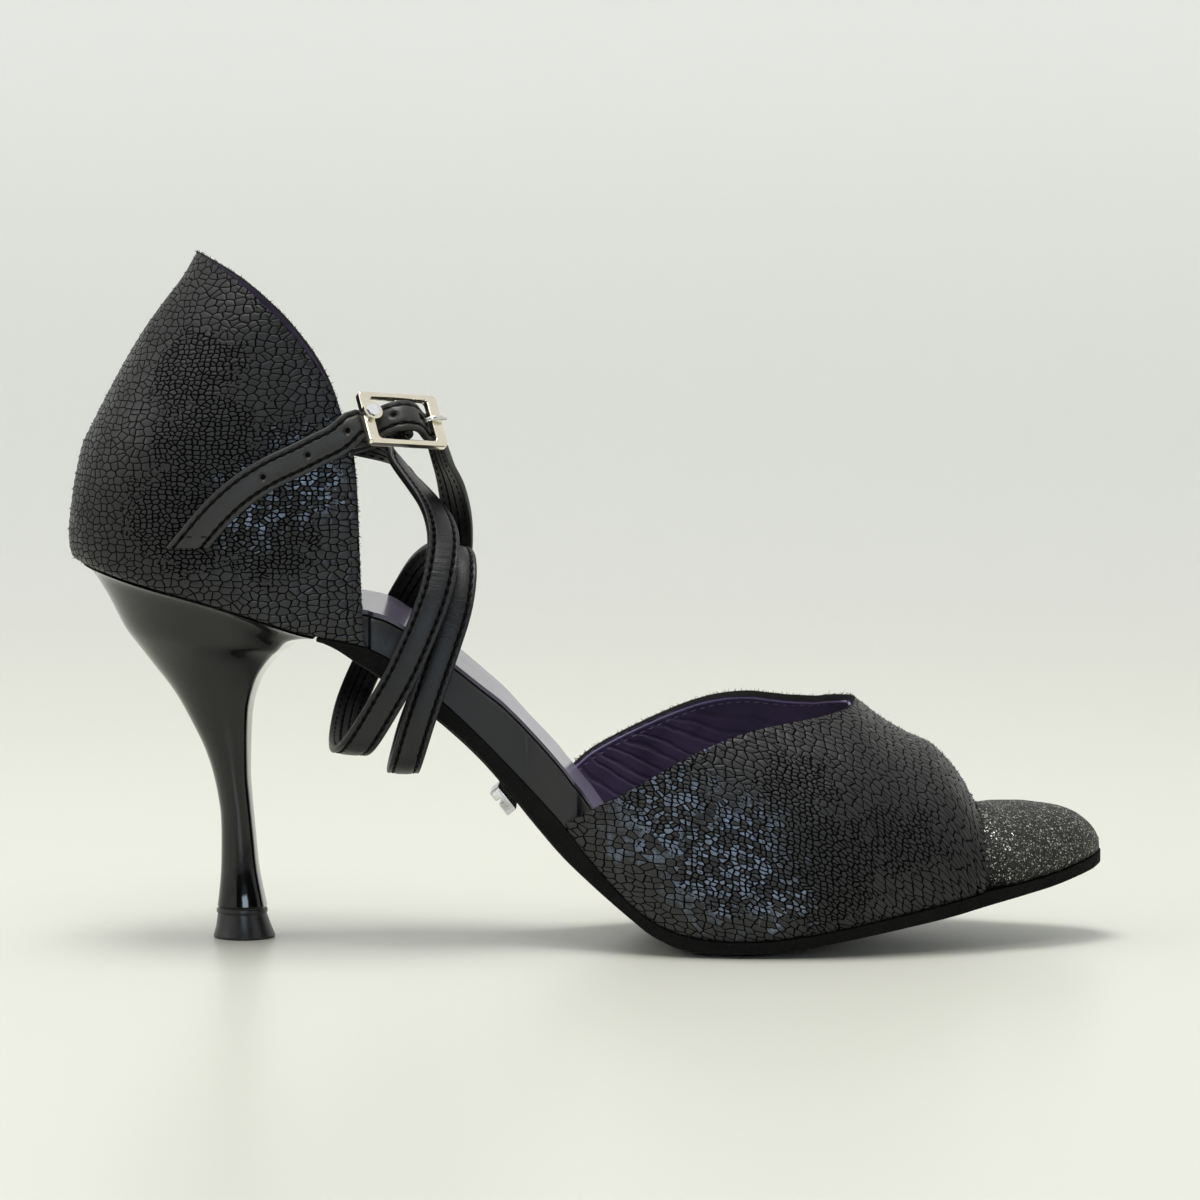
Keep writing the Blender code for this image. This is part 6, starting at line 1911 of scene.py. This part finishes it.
def fringe(build, line, out_of, per_mm=2.2, long=(0.0003, 0.0009)):
    """Fibres along a line of points; out_of gives the way out of the edge at a point."""
    for a, b in zip(line, line[1:]):
        count = (b - a).length * 1000 * per_mm
        for _ in range(int(count) + (luck.random() < count % 1)):
            at = a.lerp(b, luck.random())
            share = luck.uniform(*long) * (LONG_FIBRE if luck.random() < LONG_FIBRE_CHANCE else 1.0)
            fibre(build, at, out_of(at), share)


def fringe_edges(build, lines, heart):
    """Fibres along the edges of a sheet, that point away from its heart."""
    for line in lines:
        fringe(build, line, lambda at: (at - heart).normalized())


QUARTER_HEART = Vector((-0.075, 0.0, 0.115))
VAMP_HEART = Vector((0.04, 0.0, 0.02))
build = bmesh.new()
for side in (OUTER, INNER):
    sheet = counter_place(side)
    lines = ([sheet(k / 60, 1.0)[0] for k in range(61)], [sheet(1.0, k / 60)[0] for k in range(61)],
             [sheet(k / 60, 0.0)[0] for k in range(61)])
    fringe_edges(build, lines, QUARTER_HEART)
    for row in range(2, 60, 3):
        fringe(build, [sheet(k / 16, row / 60)[0] for k in range(5)], lambda at: Vector((-1, side * 0.4, 0)),
               1.0, SHORT_FIBRES)
show("counter_suede_fibres", build, [fluff])

build = bmesh.new()
for side in (OUTER, INNER):
    sheet = vamp_place(side)
    lines = ([sheet(k / 80 * 0.6, 1.0)[0] for k in range(81)], [sheet(1.0, k / 60)[0] for k in range(61)],
             [sheet(0.0, k / 30)[0] for k in range(31)], [sheet(k / 80, 0.0)[0] for k in range(81)])
    fringe_edges(build, lines, VAMP_HEART)
    for row in range(5):
        fringe(build, [sheet(0.6 + 0.4 * k / 20, 1 - row * 0.04)[0] for k in range(21)],
               lambda at: Vector((0.3, side * 0.2, 1)), 0.7, SHORT_FIBRES)
show("vamp_suede_fibres", build, [fluff])

build = bmesh.new()
for side in (OUTER, INNER):
    for height in (0.15, 0.5, 0.85):
        line = []
        for k in range(121):
            x = BREAST_X + SOLE_CLEAR + (TIP_X - BREAST_X - SOLE_CLEAR) * math.sin(math.pi / 2 * k / 120)
            low, high = skived_bottom(x, side)[2], feather(x)
            line.append(Vector((x, sole_edge(x, side), low + (high - low) * height)))
        fringe(build, line, lambda at: Vector((0.15, side, 0.0)), 1.8, (0.0003, 0.0008))
show("sole_suede_fibres", build, [fluff])

# %% [markdown]
# The studio is a round bowl of pale paper, so that the floor runs up into the wall with no line from any
# side. The paper is painted lighter further out and lightest on the wall: painted light for how the light
# falls. The sky lights it evenly. A softbox hangs above, a strip hangs in front, a softbox stands to the
# left, and a small bluish window is in front, low down.

# %% Floor and backdrop
paper = Finish("pale studio paper")
faint = paper.noise(paper.space(), 3.0, 2.0)
height = paper.part(paper.space(), 2)
# painted light: the floor is painted darker near the shoe and lighter further out, and the wall much lighter,
# for how the light falls
floor_tone = paper.blend(faint, (0.640, 0.640, 0.575), (0.650, 0.650, 0.585))
painted_light_wall_tone = paper.blend(faint, (0.94, 0.95, 0.93), (0.95, 0.96, 0.94))
painted_light_far_tone = paper.blend(faint, (0.765, 0.78, 0.745), (0.775, 0.79, 0.755))
away = paper.vector("LENGTH", paper.space(), (0.0, 0.0, 0.0), "Value")
low_tone = paper.blend(paper.step(away, 0.5, 1.6), floor_tone, painted_light_far_tone)
paper.paint(Base_Color=paper.blend(paper.step(height, 0.0, 0.4), low_tone, painted_light_wall_tone))
paper.paint(Roughness=0.32 + 0.06 * faint)
BOWL = ((0.0, 0.0), (0.7, 0.0), (1.3, 0.0), (1.62, 0.03), (1.9, 0.14), (2.1, 0.36), (2.2, 0.7), (2.24, 1.1),
        (2.26, 1.6))
build = bmesh.new()
line = [build.verts.new((r, 0.0, h)) for r, h in BOWL]
edges = [build.edges.new(pair) for pair in zip(line, line[1:])]
spin_up(build, edges, 64)
bmesh.ops.remove_doubles(build, verts=build.verts, dist=1e-5)
bmesh.ops.recalc_face_normals(build, faces=build.faces)
bowl = place_in_scene("studio_bowl", build, [paper.material])
bowl.data.shade_smooth()
smoother = bowl.modifiers.new("round", "SUBSURF")
smoother.levels = smoother.render_levels = 2

# %% Light
world = bpy.data.worlds.new("studio")
world.use_nodes = True
sky = world.node_tree.nodes["Background"].inputs
sky["Color"].default_value = (1.0, 0.995, 0.98, 1.0)
sky["Strength"].default_value = 0.74
bpy.context.scene.world = world


def softbox(name, place, towards, size, power, colour):
    lamp = bpy.data.lights.new(name, "AREA")
    lamp.shape = "RECTANGLE"
    lamp.size, lamp.size_y = size
    lamp.energy = power
    lamp.color = colour
    made = bpy.data.objects.new(name, lamp)
    made.location = place
    made.rotation_euler = (Vector(towards) - Vector(place)).to_track_quat("-Z", "Y").to_euler()
    bpy.context.scene.collection.objects.link(made)


softbox("overhead_softbox", (-0.15, 0.0, 1.5), (0, 0, 0.05), (0.7, 0.5), 15.0, (1.0, 1.0, 0.98))
softbox("front_strip", (-0.05, -0.92, 1.4), (-0.04, 0, 0.1), (0.7, 0.35), 2.6, (1.0, 1.0, 0.98))
softbox("left_softbox", (-1.4, -0.3, 0.8), (-0.1, 0, 0.1), (0.5, 0.6), 2.2, (1.0, 1.0, 0.99))
softbox("window", (0.14, -1.36, 0.33), (0, 0, 0.06), (0.34, 0.26), 2.6, (0.72, 0.85, 1.0))

# %% [markdown]
# The dark band across the shiny scales and the black of the heel are the photographer's dark side of the
# room. A black card behind the camera and one on the floor before it give the same reflections. The camera
# doesn't see them and they cast no shadow. The floor card shows in reflections only, the upright one also
# holds back a little light. Both are part of the stage.

# %% Dark cards
black = Finish("black card", Roughness=1.0)
fleck = black.noise(black.space(), 40.0)
black.paint(Base_Color=black.blend(fleck, (0.004, 0.004, 0.004), (0.008, 0.008, 0.008)))


def dark_card(name, size, place, shades=False):
    build = bmesh.new()
    bmesh.ops.create_grid(build, x_segments=1, y_segments=1, size=0.5)
    bmesh.ops.scale(build, vec=(*size, 1.0), verts=build.verts)
    bmesh.ops.transform(build, matrix=place, verts=build.verts)
    card = place_in_scene(name, build, [black.material])
    card.visible_camera = card.visible_shadow = False
    card.visible_diffuse = shades


upright = Matrix.Translation((0.30, -1.46, 0.9)) @ Matrix.Rotation(math.radians(90), 4, "X")
dark_card("dark_card", (1.9, 1.8), upright, shades=True)
dark_card("dark_floor_card", (1.9, 0.96), Matrix.Translation((0.30, -0.98, 0.002)))

# %% Camera
CAMERA = (0.0032625, -1.0, 0.140)
eye_piece = bpy.data.cameras.new("camera")
eye_piece.lens = 133.604
eye_piece.sensor_width = 36.0
camera = bpy.data.objects.new("camera", eye_piece)
camera.location = CAMERA
camera.rotation_euler = (math.radians(90 - 3.646), 0.0, 0.0)
bpy.context.scene.collection.objects.link(camera)
bpy.context.scene.camera = camera
bpy.context.scene.view_settings.view_transform = "Standard"
